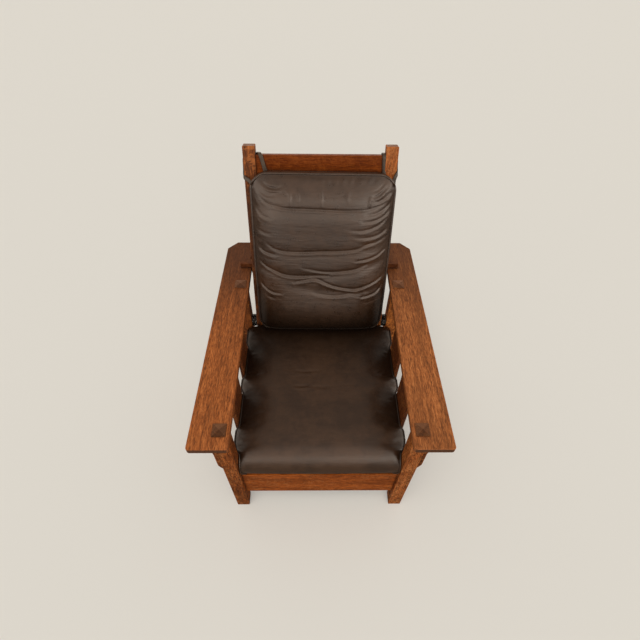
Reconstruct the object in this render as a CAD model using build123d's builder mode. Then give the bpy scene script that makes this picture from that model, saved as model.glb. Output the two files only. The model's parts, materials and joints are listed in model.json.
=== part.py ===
from build123d import *

import os
from math import cos, radians, sin, tan

os.makedirs("parts", exist_ok=True)

# The frame: +X is the sitter's left as seen from the front (the viewer's right), -Y is the front, +Z is up,
# and the origin is on the floor under the middle of the chair's outline.

# Clearances and overruns
joinery_clearance = 0.1
blind_clearance = 1.0
slide_clearance = 0.3
soft_clearance = 0.4
running_clearance = 0.08
overrun = 5.0

# Small roundings
wood_ease = 1.5
arm_ease = 2.5

# Legs
leg_width = 44.0
leg_depth = 44.0
leg_outside_width = 608.0
rear_leg_gap = 6.0
foot_chamfer = 4.0

# Arms
arm_top_height = 585.0
arm_thickness = 21.0
arm_front_width = 115.0
arm_rear_width = 99.0
arm_inner_overhang = 8.0
arm_front_overhang = 35.0
arm_rear_overhang = 206.0
arm_front_corner_radius = 9.0
arm_rear_corner_cut = 35.0

# Through tenons of the legs
tenon_shoulder = 2.5
tenon_stand = 2.5
tenon_peak = 4.0
tenon_tip = 2.0

# Corbels
corbel_thickness = 22.0
corbel_length = 234.0
corbel_top_reach = 48.0
corbel_waist_reach = 17.0
corbel_nose_height = 40.0
corbel_nose_step = 8.0
corbel_curve_height = 120.0
corbel_curve_hollow = 5.0

# Seat rails
rail_thickness = 22.0
rail_height = 155.0
rail_bottom = 108.0
rail_setback = 15.0
rail_tenon_thickness = 10.0
rail_tenon_shoulder = 12.0
cross_tenon_length = 25.0
side_rail_offset = 28.0

# Side slats
slat_thickness = 12.0
slat_width = 118.0
slat_gap = 76.0
slat_housing = 10.0

# Cleats that carry the seat frame, and their screws
cleat_width = 20.0
cleat_height = 25.0
cleat_end_gap = 14.0
screw_radius = 2.2
screw_length = 34.0
screw_head_radius = 4.6
screw_head_height = 2.6
screw_point_height = 5.0
screw_tip_radius = 0.5
screw_end_distance = 40.0
screws_per_cleat = 3

# Drop-in seat frame and its webbing
seat_frame_width = 60.0
seat_frame_thickness = 20.0
seat_frame_gap = 2.0
seat_frame_tenon = 25.0
seat_frame_tenon_thickness = 8.0
webbing_width = 50.0
webbing_thickness = 2.5
webbing_lap = 35.0
webbing_count = 5

# Seat cushion
seat_cushion_length = 530.0
seat_cushion_front_step = 9.0
seat_cushion_boxing = 96.0
seat_cushion_draw_in = 12.0
seat_cushion_under = 14.0
seat_cushion_crown = 20.0
seat_cushion_corner = 34.0
seat_cushion_swell = 6.0
seat_cushion_end_swell = 2.0

# Reclining back
lean_angle = 16.6
pivot_drop = 7.4
post_width = 38.0
post_depth = 34.0
post_side_gap = 18.0
post_top_chamfer = 2.0
post_foot_drop = 9.0
back_rail_thickness = 20.0
top_rail_height = 110.0
top_rail_drop = 28.0
bottom_rail_height = 60.0
bottom_rail_rise = 34.0
back_slat_thickness = 12.0
back_slat_height = 60.0
back_slat_count = 3
back_tenon_length = 20.0
back_tenon_shoulder = 8.0

# Pivot hardware
bolt_radius = 4.0
bolt_head_radius = 8.0
bolt_head_height = 5.0
sleeve_radius = 23.0
washer_radius = 12.0
washer_thickness = 2.0
nut_width = 14.0
nut_height = 6.5
bolt_tail = 3.0
nut_corner_ease = 1.2

# Back cushion
back_cushion_inset = 17.0
back_cushion_height = 604.0
back_cushion_bottom = -13.0
back_cushion_top_gap = 34.0
back_cushion_boxing = 46.0
back_cushion_draw_in = 7.0
back_cushion_crown = 42.0
back_cushion_corner = 50.0
back_cushion_pull = 1.0
back_cushion_end_pull = 1.0

# Leather straps that tie the back cushion to the posts
strap_width = 13.0
strap_thickness = 2.4
strap_clearance = 0.6
strap_fall = 34.0
strap_front_fall = 22.0
strap_top_inset = 26.0
strap_side_drop = 42.0

# Stop bar and its notches
bar_depth = 12.0
bar_height = 22.0
bar_drop = 24.0
bar_overlap = 37.0
bar_shoulder_gap = 1.0
bar_ease = 1.0
notch_count = 3
notch_pitch = 50.0
notch_play = 3.0
notch_depth = 8.0
notch_height = 12.0

# Places worked out from those sizes
sides = {"left": -1, "right": 1}
seat_setback = rail_setback + seat_cushion_front_step
leg_stagger = seat_setback + seat_cushion_length + rear_leg_gap
arm_length = arm_front_overhang + leg_stagger + leg_depth + arm_rear_overhang
arm_front = -arm_length / 2
arm_underside = arm_top_height - arm_thickness
leg_inner = leg_outside_width / 2 - leg_width
leg_centre = leg_outside_width / 2 - leg_width / 2
arm_inner = leg_inner - arm_inner_overhang
tenon_width = leg_width - 2 * tenon_shoulder
tenon_depth = leg_depth - 2 * tenon_shoulder
front_leg_front = arm_front + arm_front_overhang
front_leg_centre = front_leg_front + leg_depth / 2
rear_leg_front = front_leg_front + leg_stagger
rear_leg_centre = rear_leg_front + leg_depth / 2
rail_top = rail_bottom + rail_height
rail_centre_height = rail_bottom + rail_height / 2
front_rail_centre = front_leg_front + rail_setback + rail_thickness / 2
rear_rail_centre = rear_leg_front + leg_depth - rail_setback - rail_thickness / 2
side_rail_centre = leg_outside_width / 2 - side_rail_offset
side_tenon_length = (
    leg_depth - rail_setback - rail_thickness / 2 - rail_tenon_thickness / 2 - blind_clearance
)
seat_middle = (front_rail_centre + rear_rail_centre) / 2
inside_front = front_rail_centre + rail_thickness / 2
inside_rear = rear_rail_centre - rail_thickness / 2
inside_side = side_rail_centre - rail_thickness / 2
seat_frame_top = rail_top - 2 * webbing_thickness
cleat_top = seat_frame_top - seat_frame_thickness
seat_frame_half_width = leg_inner - seat_frame_gap
seat_frame_front_edge = inside_front + seat_frame_gap
seat_frame_rear_edge = inside_rear - seat_frame_gap
seat_cushion_base = rail_top + soft_clearance
seat_cushion_top = seat_cushion_base + seat_cushion_under + seat_cushion_boxing + seat_cushion_crown
pivot_y = rear_leg_centre
pivot_height = seat_cushion_top - pivot_drop
back_cushion_top = back_cushion_bottom + back_cushion_height
post_rise = back_cushion_top + back_cushion_top_gap + top_rail_drop
post_outer = leg_inner - post_side_gap
post_inner = post_outer - post_width
post_centre = post_outer - post_width / 2
bar_top = arm_top_height + bar_height
bar_front = (
    pivot_y + (bar_top - pivot_height) * tan(radians(lean_angle))
    + post_depth / 2 / cos(radians(lean_angle)) + slide_clearance
)
bar_centre = bar_front + bar_depth / 2
notch_length = bar_depth + notch_play

# The back frame's own upright plane: its origin is on the pivot line, Z runs up the posts, Y to the rear
back_plane = Plane(
    origin=(0, pivot_y, pivot_height),
    x_dir=(1, 0, 0),
    z_dir=(0, sin(radians(lean_angle)), cos(radians(lean_angle))),
)


def save(piece, name):
    """Labels a finished piece and writes it as its own file."""
    piece.part.label = name
    export_step(piece.part, f"parts/{name}.step")


def block_sketch(plane, x_low, x_high, y_low, y_high):
    """Draws a rectangle between four limits on a plane."""
    with BuildSketch(plane) as outline:
        with Locations(((x_low + x_high) / 2, (y_low + y_high) / 2)):
            Rectangle(x_high - x_low, y_high - y_low)
    return outline.sketch


def eased_block(x_low, x_high, y_low, y_high, z_low, z_high, along, ease, plane=Plane.XY, end=0, bevel=0):
    """Adds a board to the current part: four rounded long arrises and, if bevel is given, a bevelled end.

    end picks the bevelled end along the board: 0 for the lower one, -1 for the upper one.
    """
    with BuildPart(mode=Mode.PRIVATE) as board:
        extrude(block_sketch(plane.offset(z_low), x_low, x_high, y_low, y_high), amount=z_high - z_low)
        if bevel:
            chamfer(board.faces().sort_by(along)[end].edges(), bevel)
        fillet(board.edges().filter_by(along), ease)
    add(board.part)


def cut_block(x_low, x_high, y_low, y_high, z_low, z_high, plane=Plane.XY):
    """Cuts a box-shaped mortise or slot out of the current part."""
    outline = block_sketch(plane.offset(z_low), x_low, x_high, y_low, y_high)
    extrude(outline, amount=z_high - z_low, mode=Mode.SUBTRACT)


def add_block(x_low, x_high, y_low, y_high, z_low, z_high, plane=Plane.XY):
    """Adds a square-edged tenon to the current part."""
    extrude(block_sketch(plane.offset(z_low), x_low, x_high, y_low, y_high), amount=z_high - z_low)


def span(side, near, far):
    """Gives an X span in rising order, measured outwards from the middle on one side of the chair."""
    return sorted((side * near, side * far))


def leg(name, side, centre_y, rail_centre, side_rail_sign, pivoted):
    """Makes a leg with its through tenon, its rail mortises and, at the rear, its pivot hole."""
    x = side * leg_centre
    with BuildPart() as post:
        eased_block(
            x - leg_width / 2, x + leg_width / 2, centre_y - leg_depth / 2, centre_y + leg_depth / 2,
            0, arm_underside, Axis.Z, wood_ease, bevel=foot_chamfer,
        )
        tenon_top = arm_top_height + tenon_stand
        add_block(
            x - tenon_width / 2, x + tenon_width / 2,
            centre_y - tenon_depth / 2, centre_y + tenon_depth / 2,
            arm_underside, tenon_top,
        )
        with BuildSketch(Plane.XY.offset(tenon_top)):
            with Locations((x, centre_y)):
                Rectangle(tenon_width, tenon_depth)
        with BuildSketch(Plane.XY.offset(tenon_top + tenon_peak)):
            with Locations((x, centre_y)):
                Rectangle(tenon_tip, tenon_tip)
        loft()
        tenon_half = rail_tenon_thickness / 2 + joinery_clearance
        low = rail_bottom + rail_tenon_shoulder - joinery_clearance
        high = rail_top - rail_tenon_shoulder + joinery_clearance
        cut_block(
            *span(side, leg_inner - overrun, leg_inner + cross_tenon_length + blind_clearance),
            rail_centre - tenon_half, rail_centre + tenon_half, low, high,
        )
        inner_face = centre_y + side_rail_sign * leg_depth / 2
        cut_block(
            side * side_rail_centre - tenon_half, side * side_rail_centre + tenon_half,
            *sorted((inner_face + side_rail_sign * overrun,
                     inner_face - side_rail_sign * (side_tenon_length + blind_clearance / 2))),
            low, high,
        )
        if pivoted:
            with BuildSketch(Plane.YZ.offset(x - leg_width / 2 - overrun)):
                with Locations((pivot_y, pivot_height)):
                    Circle(bolt_radius + running_clearance)
            extrude(amount=leg_width + 2 * overrun, mode=Mode.SUBTRACT)
    save(post, name)


for side_name, side in sides.items():
    leg(f"front_leg_{side_name}", side, front_leg_centre, front_rail_centre, 1, False)
    leg(f"rear_leg_{side_name}", side, rear_leg_centre, rear_rail_centre, -1, True)


def slat_centres():
    """Gives the places of a side's two slats, spread about the middle of the gap between its legs."""
    middle = (front_leg_centre + rear_leg_centre) / 2
    step = (slat_width + slat_gap) / 2
    return {"front": middle - step, "rear": middle + step}


def arm(name, side):
    """Makes an arm: tapering in plan, cut off at its outer rear corner, mortised, housed and notched."""
    inner = arm_inner
    with BuildPart() as board:
        with BuildSketch(Plane.XY.offset(arm_underside)) as outline:
            with BuildLine():
                Polyline(
                    (side * inner, arm_front),
                    (side * (inner + arm_front_width), arm_front),
                    (side * (inner + arm_rear_width), -arm_front - arm_rear_corner_cut),
                    (side * (inner + arm_rear_width - arm_rear_corner_cut), -arm_front),
                    (side * inner, -arm_front),
                    close=True,
                )
            make_face()
            fillet(outline.vertices().group_by(Axis.Y)[0], arm_front_corner_radius)
        extrude(amount=arm_thickness)
        faces = board.faces().filter_by(Axis.Z)
        fillet(faces.edges(), arm_ease)
        half_width = tenon_width / 2 + joinery_clearance
        half_depth = tenon_depth / 2 + joinery_clearance
        for centre_y in (front_leg_centre, rear_leg_centre):
            cut_block(
                side * leg_centre - half_width, side * leg_centre + half_width,
                centre_y - half_depth, centre_y + half_depth,
                arm_underside - overrun, arm_top_height + overrun,
            )
        for centre_y in slat_centres().values():
            half = slat_thickness / 2 + joinery_clearance
            reach = slat_width / 2 + joinery_clearance
            cut_block(
                side * side_rail_centre - half, side * side_rail_centre + half,
                centre_y - reach, centre_y + reach,
                arm_underside - overrun, arm_underside + slat_housing + blind_clearance / 2,
            )
        for place in range(notch_count):
            notch_centre = bar_centre + place * notch_pitch
            cut_block(
                *span(side, inner - overrun, inner + notch_depth),
                notch_centre - notch_length / 2, notch_centre + notch_length / 2,
                arm_top_height - notch_height, arm_top_height + overrun,
            )
    save(board, name)


def corbel(name, side):
    """Makes a long corbel: a rounded nose at the foot, a slim stem, and a hollow flare up to the arm."""
    face = leg_outside_width / 2
    foot = arm_underside - corbel_length
    stem_low = foot + corbel_nose_height
    stem_high = arm_underside - corbel_curve_height
    with BuildPart() as bracket:
        with BuildSketch(Plane.XZ.offset(-front_leg_centre - corbel_thickness / 2)):
            with BuildLine():
                shoulder = (side * (face + corbel_nose_step), foot + corbel_nose_step)
                stem_start = (side * (face + corbel_waist_reach), stem_low)
                stem_end = (side * (face + corbel_waist_reach), stem_high)
                top = (side * (face + corbel_top_reach), arm_underside)
                nose_middle = (
                    side * (face + (corbel_nose_step + corbel_waist_reach) / 2 + corbel_nose_step / 4),
                    (shoulder[1] + stem_low) / 2 - corbel_nose_step / 4,
                )
                flare_middle = (
                    side * (face + (corbel_waist_reach + corbel_top_reach) / 2 - corbel_curve_hollow),
                    (stem_high + arm_underside) / 2,
                )
                Line((side * face, foot), shoulder)
                ThreePointArc(shoulder, nose_middle, stem_start)
                Line(stem_start, stem_end)
                ThreePointArc(stem_end, flare_middle, top)
                Line(top, (side * face, arm_underside))
                Line((side * face, arm_underside), (side * face, foot))
            make_face()
        extrude(amount=corbel_thickness)
    save(bracket, name)


for side_name, side in sides.items():
    arm(f"arm_{side_name}", side)
    corbel(f"corbel_{side_name}", side)


def screw_places(low, high):
    """Gives the places of a cleat's screws along its length."""
    first = low + screw_end_distance
    last = high - screw_end_distance
    return [first + (last - first) * n / (screws_per_cleat - 1) for n in range(screws_per_cleat)]


cleat_centre_height = cleat_top - cleat_height / 2
cleat_half_x = leg_inner - cleat_end_gap
cleat_low_y = inside_front + cleat_width + cleat_end_gap
cleat_high_y = inside_rear - cleat_width - cleat_end_gap
# Each cleat's screws: the plane of its inner face, looking out along the screw, and the screws' places
screw_rows = {
    "front": [
        Plane((x, inside_front + cleat_width, cleat_centre_height), x_dir=(1, 0, 0), z_dir=(0, -1, 0))
        for x in screw_places(-cleat_half_x, cleat_half_x)
    ],
    "rear": [
        Plane((x, inside_rear - cleat_width, cleat_centre_height), x_dir=(1, 0, 0), z_dir=(0, 1, 0))
        for x in screw_places(-cleat_half_x, cleat_half_x)
    ],
    "left": [
        Plane((-inside_side + cleat_width, y, cleat_centre_height), x_dir=(0, 1, 0), z_dir=(-1, 0, 0))
        for y in screw_places(cleat_low_y, cleat_high_y)
    ],
    "right": [
        Plane((inside_side - cleat_width, y, cleat_centre_height), x_dir=(0, 1, 0), z_dir=(1, 0, 0))
        for y in screw_places(cleat_low_y, cleat_high_y)
    ],
}


def screw_profile(place, extra):
    """Draws half of a countersunk screw, or of its hole when extra is the hole's clearance."""
    with BuildSketch(Plane(place.origin, x_dir=place.x_dir, z_dir=-place.y_dir)) as profile:
        with BuildLine():
            Polyline(
                (0, 0),
                (screw_head_radius + extra, 0),
                (screw_radius + extra, screw_head_height + extra),
                (screw_radius + extra, screw_length - screw_point_height),
                (screw_tip_radius, screw_length + extra),
                (0, screw_length + extra),
                close=True,
            )
        make_face()
    return profile.sketch


def cut_screw_holes(row):
    """Cuts the clearance holes of one cleat's screws out of the current part."""
    for place in screw_rows[row]:
        profile = screw_profile(place, joinery_clearance)
        revolve(profile, axis=Axis(place.origin, place.z_dir), mode=Mode.SUBTRACT)


def cross_rail(name, centre_y, row):
    """Makes the front or rear seat rail with its two tenons."""
    with BuildPart() as rail:
        eased_block(
            -leg_inner, leg_inner, centre_y - rail_thickness / 2, centre_y + rail_thickness / 2,
            rail_bottom, rail_top, Axis.X, wood_ease,
        )
        add_block(
            -leg_inner - cross_tenon_length, leg_inner + cross_tenon_length,
            centre_y - rail_tenon_thickness / 2, centre_y + rail_tenon_thickness / 2,
            rail_bottom + rail_tenon_shoulder, rail_top - rail_tenon_shoulder,
        )
        cut_screw_holes(row)
    save(rail, name)


def side_rail(name, side, row):
    """Makes a side seat rail with its two tenons and the housings of its slats."""
    low = front_leg_front + leg_depth
    high = rear_leg_front
    x = side * side_rail_centre
    with BuildPart() as rail:
        eased_block(
            x - rail_thickness / 2, x + rail_thickness / 2, low, high,
            rail_bottom, rail_top, Axis.Y, wood_ease,
        )
        add_block(
            x - rail_tenon_thickness / 2, x + rail_tenon_thickness / 2,
            low - side_tenon_length, high + side_tenon_length,
            rail_bottom + rail_tenon_shoulder, rail_top - rail_tenon_shoulder,
        )
        for centre_y in slat_centres().values():
            half = slat_thickness / 2 + joinery_clearance
            reach = slat_width / 2 + joinery_clearance
            cut_block(
                x - half, x + half, centre_y - reach, centre_y + reach,
                rail_top - slat_housing - blind_clearance / 2, rail_top + overrun,
            )
        cut_screw_holes(row)
    save(rail, name)


cross_rail("front_seat_rail", front_rail_centre, "front")
cross_rail("rear_seat_rail", rear_rail_centre, "rear")
for side_name, side in sides.items():
    side_rail(f"side_rail_{side_name}", side, side_name)

# Side slats, housed in the side rail below and in the arm above
for side_name, side in sides.items():
    for row, centre_y in slat_centres().items():
        with BuildPart() as slat:
            eased_block(
                side * side_rail_centre - slat_thickness / 2, side * side_rail_centre + slat_thickness / 2,
                centre_y - slat_width / 2, centre_y + slat_width / 2,
                rail_top - slat_housing, arm_underside + slat_housing, Axis.Z, wood_ease,
            )
        save(slat, f"side_slat_{side_name}_{row}")

# Cleats
cleat_boxes = {
    "front": (-cleat_half_x, cleat_half_x, inside_front, inside_front + cleat_width),
    "rear": (-cleat_half_x, cleat_half_x, inside_rear - cleat_width, inside_rear),
    "left": (-inside_side, -inside_side + cleat_width, cleat_low_y, cleat_high_y),
    "right": (inside_side - cleat_width, inside_side, cleat_low_y, cleat_high_y),
}
for row, limits in cleat_boxes.items():
    with BuildPart() as cleat:
        add_block(*limits, cleat_top - cleat_height, cleat_top)
        cut_screw_holes(row)
    save(cleat, f"seat_cleat_{row}")

# Cleat screws, countersunk, flush with the cleats' inner faces
with BuildPart() as screws:
    for places in screw_rows.values():
        for place in places:
            revolve(screw_profile(place, 0), axis=Axis(place.origin, place.z_dir))
save(screws, "cleat_screws")

# Drop-in seat frame: two cross members with mortises, two side members with stub tenons
frame_z = (seat_frame_top - seat_frame_thickness, seat_frame_top)
tenon_z = (
    seat_frame_top - seat_frame_thickness / 2 - seat_frame_tenon_thickness / 2,
    seat_frame_top - seat_frame_thickness / 2 + seat_frame_tenon_thickness / 2,
)
cross_members = {
    "front": (seat_frame_front_edge, seat_frame_front_edge + seat_frame_width),
    "rear": (seat_frame_rear_edge - seat_frame_width, seat_frame_rear_edge),
}
side_member_y = (cross_members["front"][1], cross_members["rear"][0])
for row, (low, high) in cross_members.items():
    with BuildPart() as member:
        add_block(-seat_frame_half_width, seat_frame_half_width, low, high, *frame_z)
        for side in sides.values():
            x_low, x_high = span(side, seat_frame_half_width - seat_frame_width, seat_frame_half_width)
            mouth, depth = (high, -1) if row == "front" else (low, 1)
            floor_y = mouth + depth * (seat_frame_tenon + blind_clearance)
            y_low, y_high = sorted((mouth - depth * overrun, floor_y))
            cut_block(
                x_low + rail_tenon_shoulder - joinery_clearance,
                x_high - rail_tenon_shoulder + joinery_clearance,
                y_low, y_high, tenon_z[0] - joinery_clearance, tenon_z[1] + joinery_clearance,
            )
    save(member, f"seat_frame_{row}")
for side_name, side in sides.items():
    with BuildPart() as member:
        x_low, x_high = span(side, seat_frame_half_width - seat_frame_width, seat_frame_half_width)
        add_block(x_low, x_high, *side_member_y, *frame_z)
        add_block(
            x_low + rail_tenon_shoulder, x_high - rail_tenon_shoulder,
            side_member_y[0] - seat_frame_tenon, side_member_y[1] + seat_frame_tenon, *tenon_z,
        )
    save(member, f"seat_frame_{side_name}")


def spread(low, high, count):
    """Gives evenly spaced centres between two limits, with half a space at each end."""
    return [low + (high - low) * (n + 1 / 2) / count for n in range(count)]


# Webbing: one layer runs front to rear, the other lies across it
open_x = seat_frame_half_width - seat_frame_width
open_low = cross_members["front"][1]
open_high = cross_members["rear"][0]
with BuildPart() as webbing:
    for x in spread(-open_x, open_x, webbing_count):
        add_block(
            x - webbing_width / 2, x + webbing_width / 2, open_low - webbing_lap, open_high + webbing_lap,
            seat_frame_top, seat_frame_top + webbing_thickness,
        )
save(webbing, "seat_webbing_lengthwise")
with BuildPart() as webbing:
    for y in spread(open_low, open_high, webbing_count):
        add_block(
            -open_x - webbing_lap, open_x + webbing_lap, y - webbing_width / 2, y + webbing_width / 2,
            seat_frame_top + webbing_thickness, seat_frame_top + 2 * webbing_thickness,
        )
save(webbing, "seat_webbing_crosswise")


def cushion_section(plane, half_x, half_y, corner, bow_x, bow_y):
    """Draws one level of a cushion: four shallow bowed sides joined by rounded corners."""
    diagonal = corner * (1 - cos(radians(45)))
    with BuildSketch(plane) as section:
        with BuildLine():
            ThreePointArc((-half_x + corner, -half_y), (0, -half_y - bow_y), (half_x - corner, -half_y))
            ThreePointArc(
                (half_x - corner, -half_y),
                (half_x - diagonal, -half_y + diagonal),
                (half_x, -half_y + corner),
            )
            ThreePointArc((half_x, -half_y + corner), (half_x + bow_x, 0), (half_x, half_y - corner))
            ThreePointArc(
                (half_x, half_y - corner), (half_x - diagonal, half_y - diagonal), (half_x - corner, half_y)
            )
            ThreePointArc((half_x - corner, half_y), (0, half_y + bow_y), (-half_x + corner, half_y))
            ThreePointArc(
                (-half_x + corner, half_y),
                (-half_x + diagonal, half_y - diagonal),
                (-half_x, half_y - corner),
            )
            ThreePointArc((-half_x, half_y - corner), (-half_x - bow_x, 0), (-half_x, -half_y + corner))
            ThreePointArc(
                (-half_x, -half_y + corner),
                (-half_x + diagonal, -half_y + diagonal),
                (-half_x + corner, -half_y),
            )
        make_face()
    return section.sketch


# Shares of a cushion's crown: how far the surface has risen at each share of the way in from its edge
crown_inset_shares = (0.0, 0.07, 0.2, 0.42, 0.7)
crown_rise_shares = (0.0, 0.42, 0.72, 0.93, 1.0)


def cushion(name, plane, half_x, half_y, under, boxing, crown, draw_in, corner, bow_x, bow_y):
    """Makes a cushion: a flat base with drawn-in lower edge, bulging sides, and a crowned top."""
    reach = min(half_x, half_y)
    levels = [(0, draw_in), (under, 0), (under + boxing / 2, -soft_clearance), (under + boxing, 0)]
    for inset, rise in zip(crown_inset_shares[1:], crown_rise_shares[1:]):
        levels.append((under + boxing + rise * crown, inset * reach))
    sections = []
    for height, inset in levels:
        keep = 1 - max(inset, 0) / reach
        sections.append(
            cushion_section(
                plane.offset(height), half_x - inset, half_y - inset, max(corner * keep, draw_in / 2),
                bow_x * keep, bow_y * keep,
            )
        )
    with BuildPart() as pad:
        loft(sections, ruled=True)
    save(pad, name)


seat_half_x = leg_inner - soft_clearance * 2
seat_half_y = seat_cushion_length / 2
seat_plane = Plane((0, front_leg_front + seat_setback + seat_half_y, seat_cushion_base))
cushion(
    "seat_cushion", seat_plane, seat_half_x, seat_half_y, seat_cushion_under, seat_cushion_boxing,
    seat_cushion_crown, seat_cushion_draw_in, seat_cushion_corner,
    seat_cushion_swell, seat_cushion_end_swell,
)

# Pivot hardware: a bolt through each rear leg and post, a sleeve and washers between them, a nut outside
pivot_line = Plane.YZ
for side_name, side in sides.items():
    head_seat = post_inner - slide_clearance - washer_thickness
    tail = leg_outside_width / 2 + washer_thickness + nut_height + bolt_tail
    with BuildPart() as bolt:
        with BuildSketch(pivot_line.offset(side * head_seat)):
            with Locations((pivot_y, pivot_height)):
                Circle(bolt_radius)
        extrude(amount=side * (tail - head_seat))
        with BuildSketch(pivot_line.offset(side * head_seat)):
            with Locations((pivot_y, pivot_height)):
                Circle(bolt_head_radius)
        extrude(amount=-side * bolt_head_height)
        head = bolt.faces().filter_by(Axis.X).sort_by(Axis.X)[0 if side > 0 else -1]
        fillet(head.edges(), bolt_head_height / 2)
    save(bolt, f"pivot_bolt_{side_name}")
    sleeve_near = post_outer + slide_clearance + washer_thickness
    sleeve_far = leg_inner - washer_thickness
    with BuildPart() as sleeve:
        with BuildSketch(pivot_line.offset(side * sleeve_near)):
            with Locations((pivot_y, pivot_height)):
                Circle(sleeve_radius)
                Circle(bolt_radius + running_clearance, mode=Mode.SUBTRACT)
        extrude(amount=side * (sleeve_far - sleeve_near))
    save(sleeve, f"pivot_sleeve_{side_name}")

washer_starts = (
    post_inner - slide_clearance - washer_thickness,
    post_outer + slide_clearance,
    leg_inner - washer_thickness,
    leg_outside_width / 2,
)
with BuildPart() as washers:
    for side in sides.values():
        for start in washer_starts:
            with BuildSketch(pivot_line.offset(side * start)):
                with Locations((pivot_y, pivot_height)):
                    Circle(washer_radius)
                    Circle(bolt_radius + running_clearance, mode=Mode.SUBTRACT)
            extrude(amount=side * washer_thickness)
save(washers, "pivot_washers")

with BuildPart() as nuts:
    for side in sides.values():
        with BuildSketch(pivot_line.offset(side * (leg_outside_width / 2 + washer_thickness))) as nut:
            with Locations((pivot_y, pivot_height)):
                Rectangle(nut_width, nut_width)
            fillet(nut.vertices(), nut_corner_ease)
            with Locations((pivot_y, pivot_height)):
                Circle(bolt_radius + running_clearance, mode=Mode.SUBTRACT)
        extrude(amount=side * nut_height)
save(nuts, "pivot_nuts")


def back_member_rows():
    """Gives each cross piece of the back: its bottom and top along the posts, and its thickness."""
    top = post_rise - top_rail_drop
    rows = {
        "back_top_rail": (top - top_rail_height, top, back_rail_thickness),
        "back_bottom_rail": (bottom_rail_rise, bottom_rail_rise + bottom_rail_height, back_rail_thickness),
    }
    low = bottom_rail_rise + bottom_rail_height
    high = top - top_rail_height
    names = [f"back_slat_{n + 1}" for n in range(back_slat_count)]
    gap = (high - low - back_slat_count * back_slat_height) / (back_slat_count + 1)
    for n, name in enumerate(names):
        start = low + gap + n * (back_slat_height + gap)
        rows[name] = (start, start + back_slat_height, back_slat_thickness)
    return rows


def tenon_thickness(thickness):
    """Gives the thickness of the tenon on a back member: a thin slat goes in whole."""
    return thickness if thickness <= back_slat_thickness else thickness / 2


# Back posts: round at the foot, a little below the pivot, mortised for the rails and slats
for side_name, side in sides.items():
    x_low, x_high = span(side, post_inner, post_outer)
    with BuildPart() as post:
        eased_block(
            x_low, x_high, -post_depth / 2, post_depth / 2, -post_foot_drop, post_rise,
            Axis(back_plane.origin, back_plane.z_dir),
            wood_ease, back_plane, end=-1, bevel=post_top_chamfer,
        )
        round_plane = Plane((x_low, pivot_y, pivot_height), x_dir=back_plane.y_dir, z_dir=(1, 0, 0))
        with BuildSketch(round_plane):
            with Locations((0, -post_foot_drop)):
                Circle(post_depth / 2)
        extrude(amount=post_width)
        with BuildSketch(round_plane.offset(-overrun)):
            Circle(bolt_radius + running_clearance)
        extrude(amount=post_width + 2 * overrun, mode=Mode.SUBTRACT)
        for low, high, thickness in back_member_rows().values():
            half = tenon_thickness(thickness) / 2 + joinery_clearance
            cut_block(
                *span(side, post_inner - overrun, post_inner + back_tenon_length + blind_clearance),
                -half, half,
                low + back_tenon_shoulder - joinery_clearance,
                high - back_tenon_shoulder + joinery_clearance,
                back_plane,
            )
    save(post, f"back_post_{side_name}")

# Back rails and slats
for name, (low, high, thickness) in back_member_rows().items():
    with BuildPart() as member:
        eased_block(
            -post_inner, post_inner, -thickness / 2, thickness / 2, low, high, Axis.X, wood_ease, back_plane
        )
        half = tenon_thickness(thickness) / 2
        add_block(
            -post_inner - back_tenon_length, post_inner + back_tenon_length, -half, half,
            low + back_tenon_shoulder, high - back_tenon_shoulder, back_plane,
        )
    save(member, name)

# Back cushion, on the posts' front faces: its plane lies on them and looks forwards
cushion_origin = back_plane.origin - back_plane.y_dir * (post_depth / 2 + soft_clearance)
cushion_middle = cushion_origin + back_plane.z_dir * (back_cushion_bottom + back_cushion_height / 2)
back_cushion_plane = Plane(cushion_middle, x_dir=(1, 0, 0), z_dir=-back_plane.y_dir)
cushion(
    "back_cushion", back_cushion_plane, post_outer - back_cushion_inset, back_cushion_height / 2,
    back_cushion_draw_in, back_cushion_boxing, back_cushion_crown, back_cushion_draw_in, back_cushion_corner,
    -back_cushion_pull, -back_cushion_end_pull,
)


def strap_run(start, end, outward):
    """Adds one straight run of a strap to the current part, its inner face on the line between two points."""
    along = end - start
    middle = (start + end) * 0.5
    face = Plane(middle, x_dir=along, z_dir=outward)
    with BuildSketch(face) as band:
        Rectangle(along.length + strap_thickness, strap_width)
    extrude(band.sketch, amount=strap_thickness)


def back_point(x, y, z):
    """Turns a place on the back frame's own axes into a place in the chair."""
    return back_plane.from_local_coords(Vector(x, y, z))


# Straps: over the top rail beside each post, behind the post, round its outer face and on to the cushion
for side_name, side in sides.items():
    rail_edge = post_rise - top_rail_drop + strap_clearance
    rail_front = -back_rail_thickness / 2 - strap_clearance
    rear = post_depth / 2 + strap_clearance
    front = -post_depth / 2 - strap_clearance
    outer = post_outer + strap_clearance
    by_post = post_inner - strap_width / 2 - strap_clearance
    corner_x = post_inner - strap_top_inset
    seam = -post_depth / 2 - back_cushion_draw_in
    tie_height = rail_edge - strap_fall
    points = {
        "cushion_top": back_point(side * corner_x, rail_front, back_cushion_top + strap_clearance * 2),
        "rail_front": back_point(side * by_post, rail_front, rail_edge),
        "rail_rear": back_point(side * by_post, rear, rail_edge),
        "post_rear": back_point(side * outer, rear, tie_height),
        "post_front": back_point(side * outer, front, tie_height - strap_front_fall / 2),
    }
    x_out = Vector(side, 0, 0)
    with BuildPart() as strap:
        strap_run(points["cushion_top"], points["rail_front"], -back_plane.y_dir)
        strap_run(points["rail_front"], points["rail_rear"], back_plane.z_dir)
        strap_run(points["rail_rear"], points["post_rear"], back_plane.y_dir)
        strap_run(points["post_rear"], points["post_front"], x_out)
    save(strap, f"strap_{side_name}")

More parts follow.
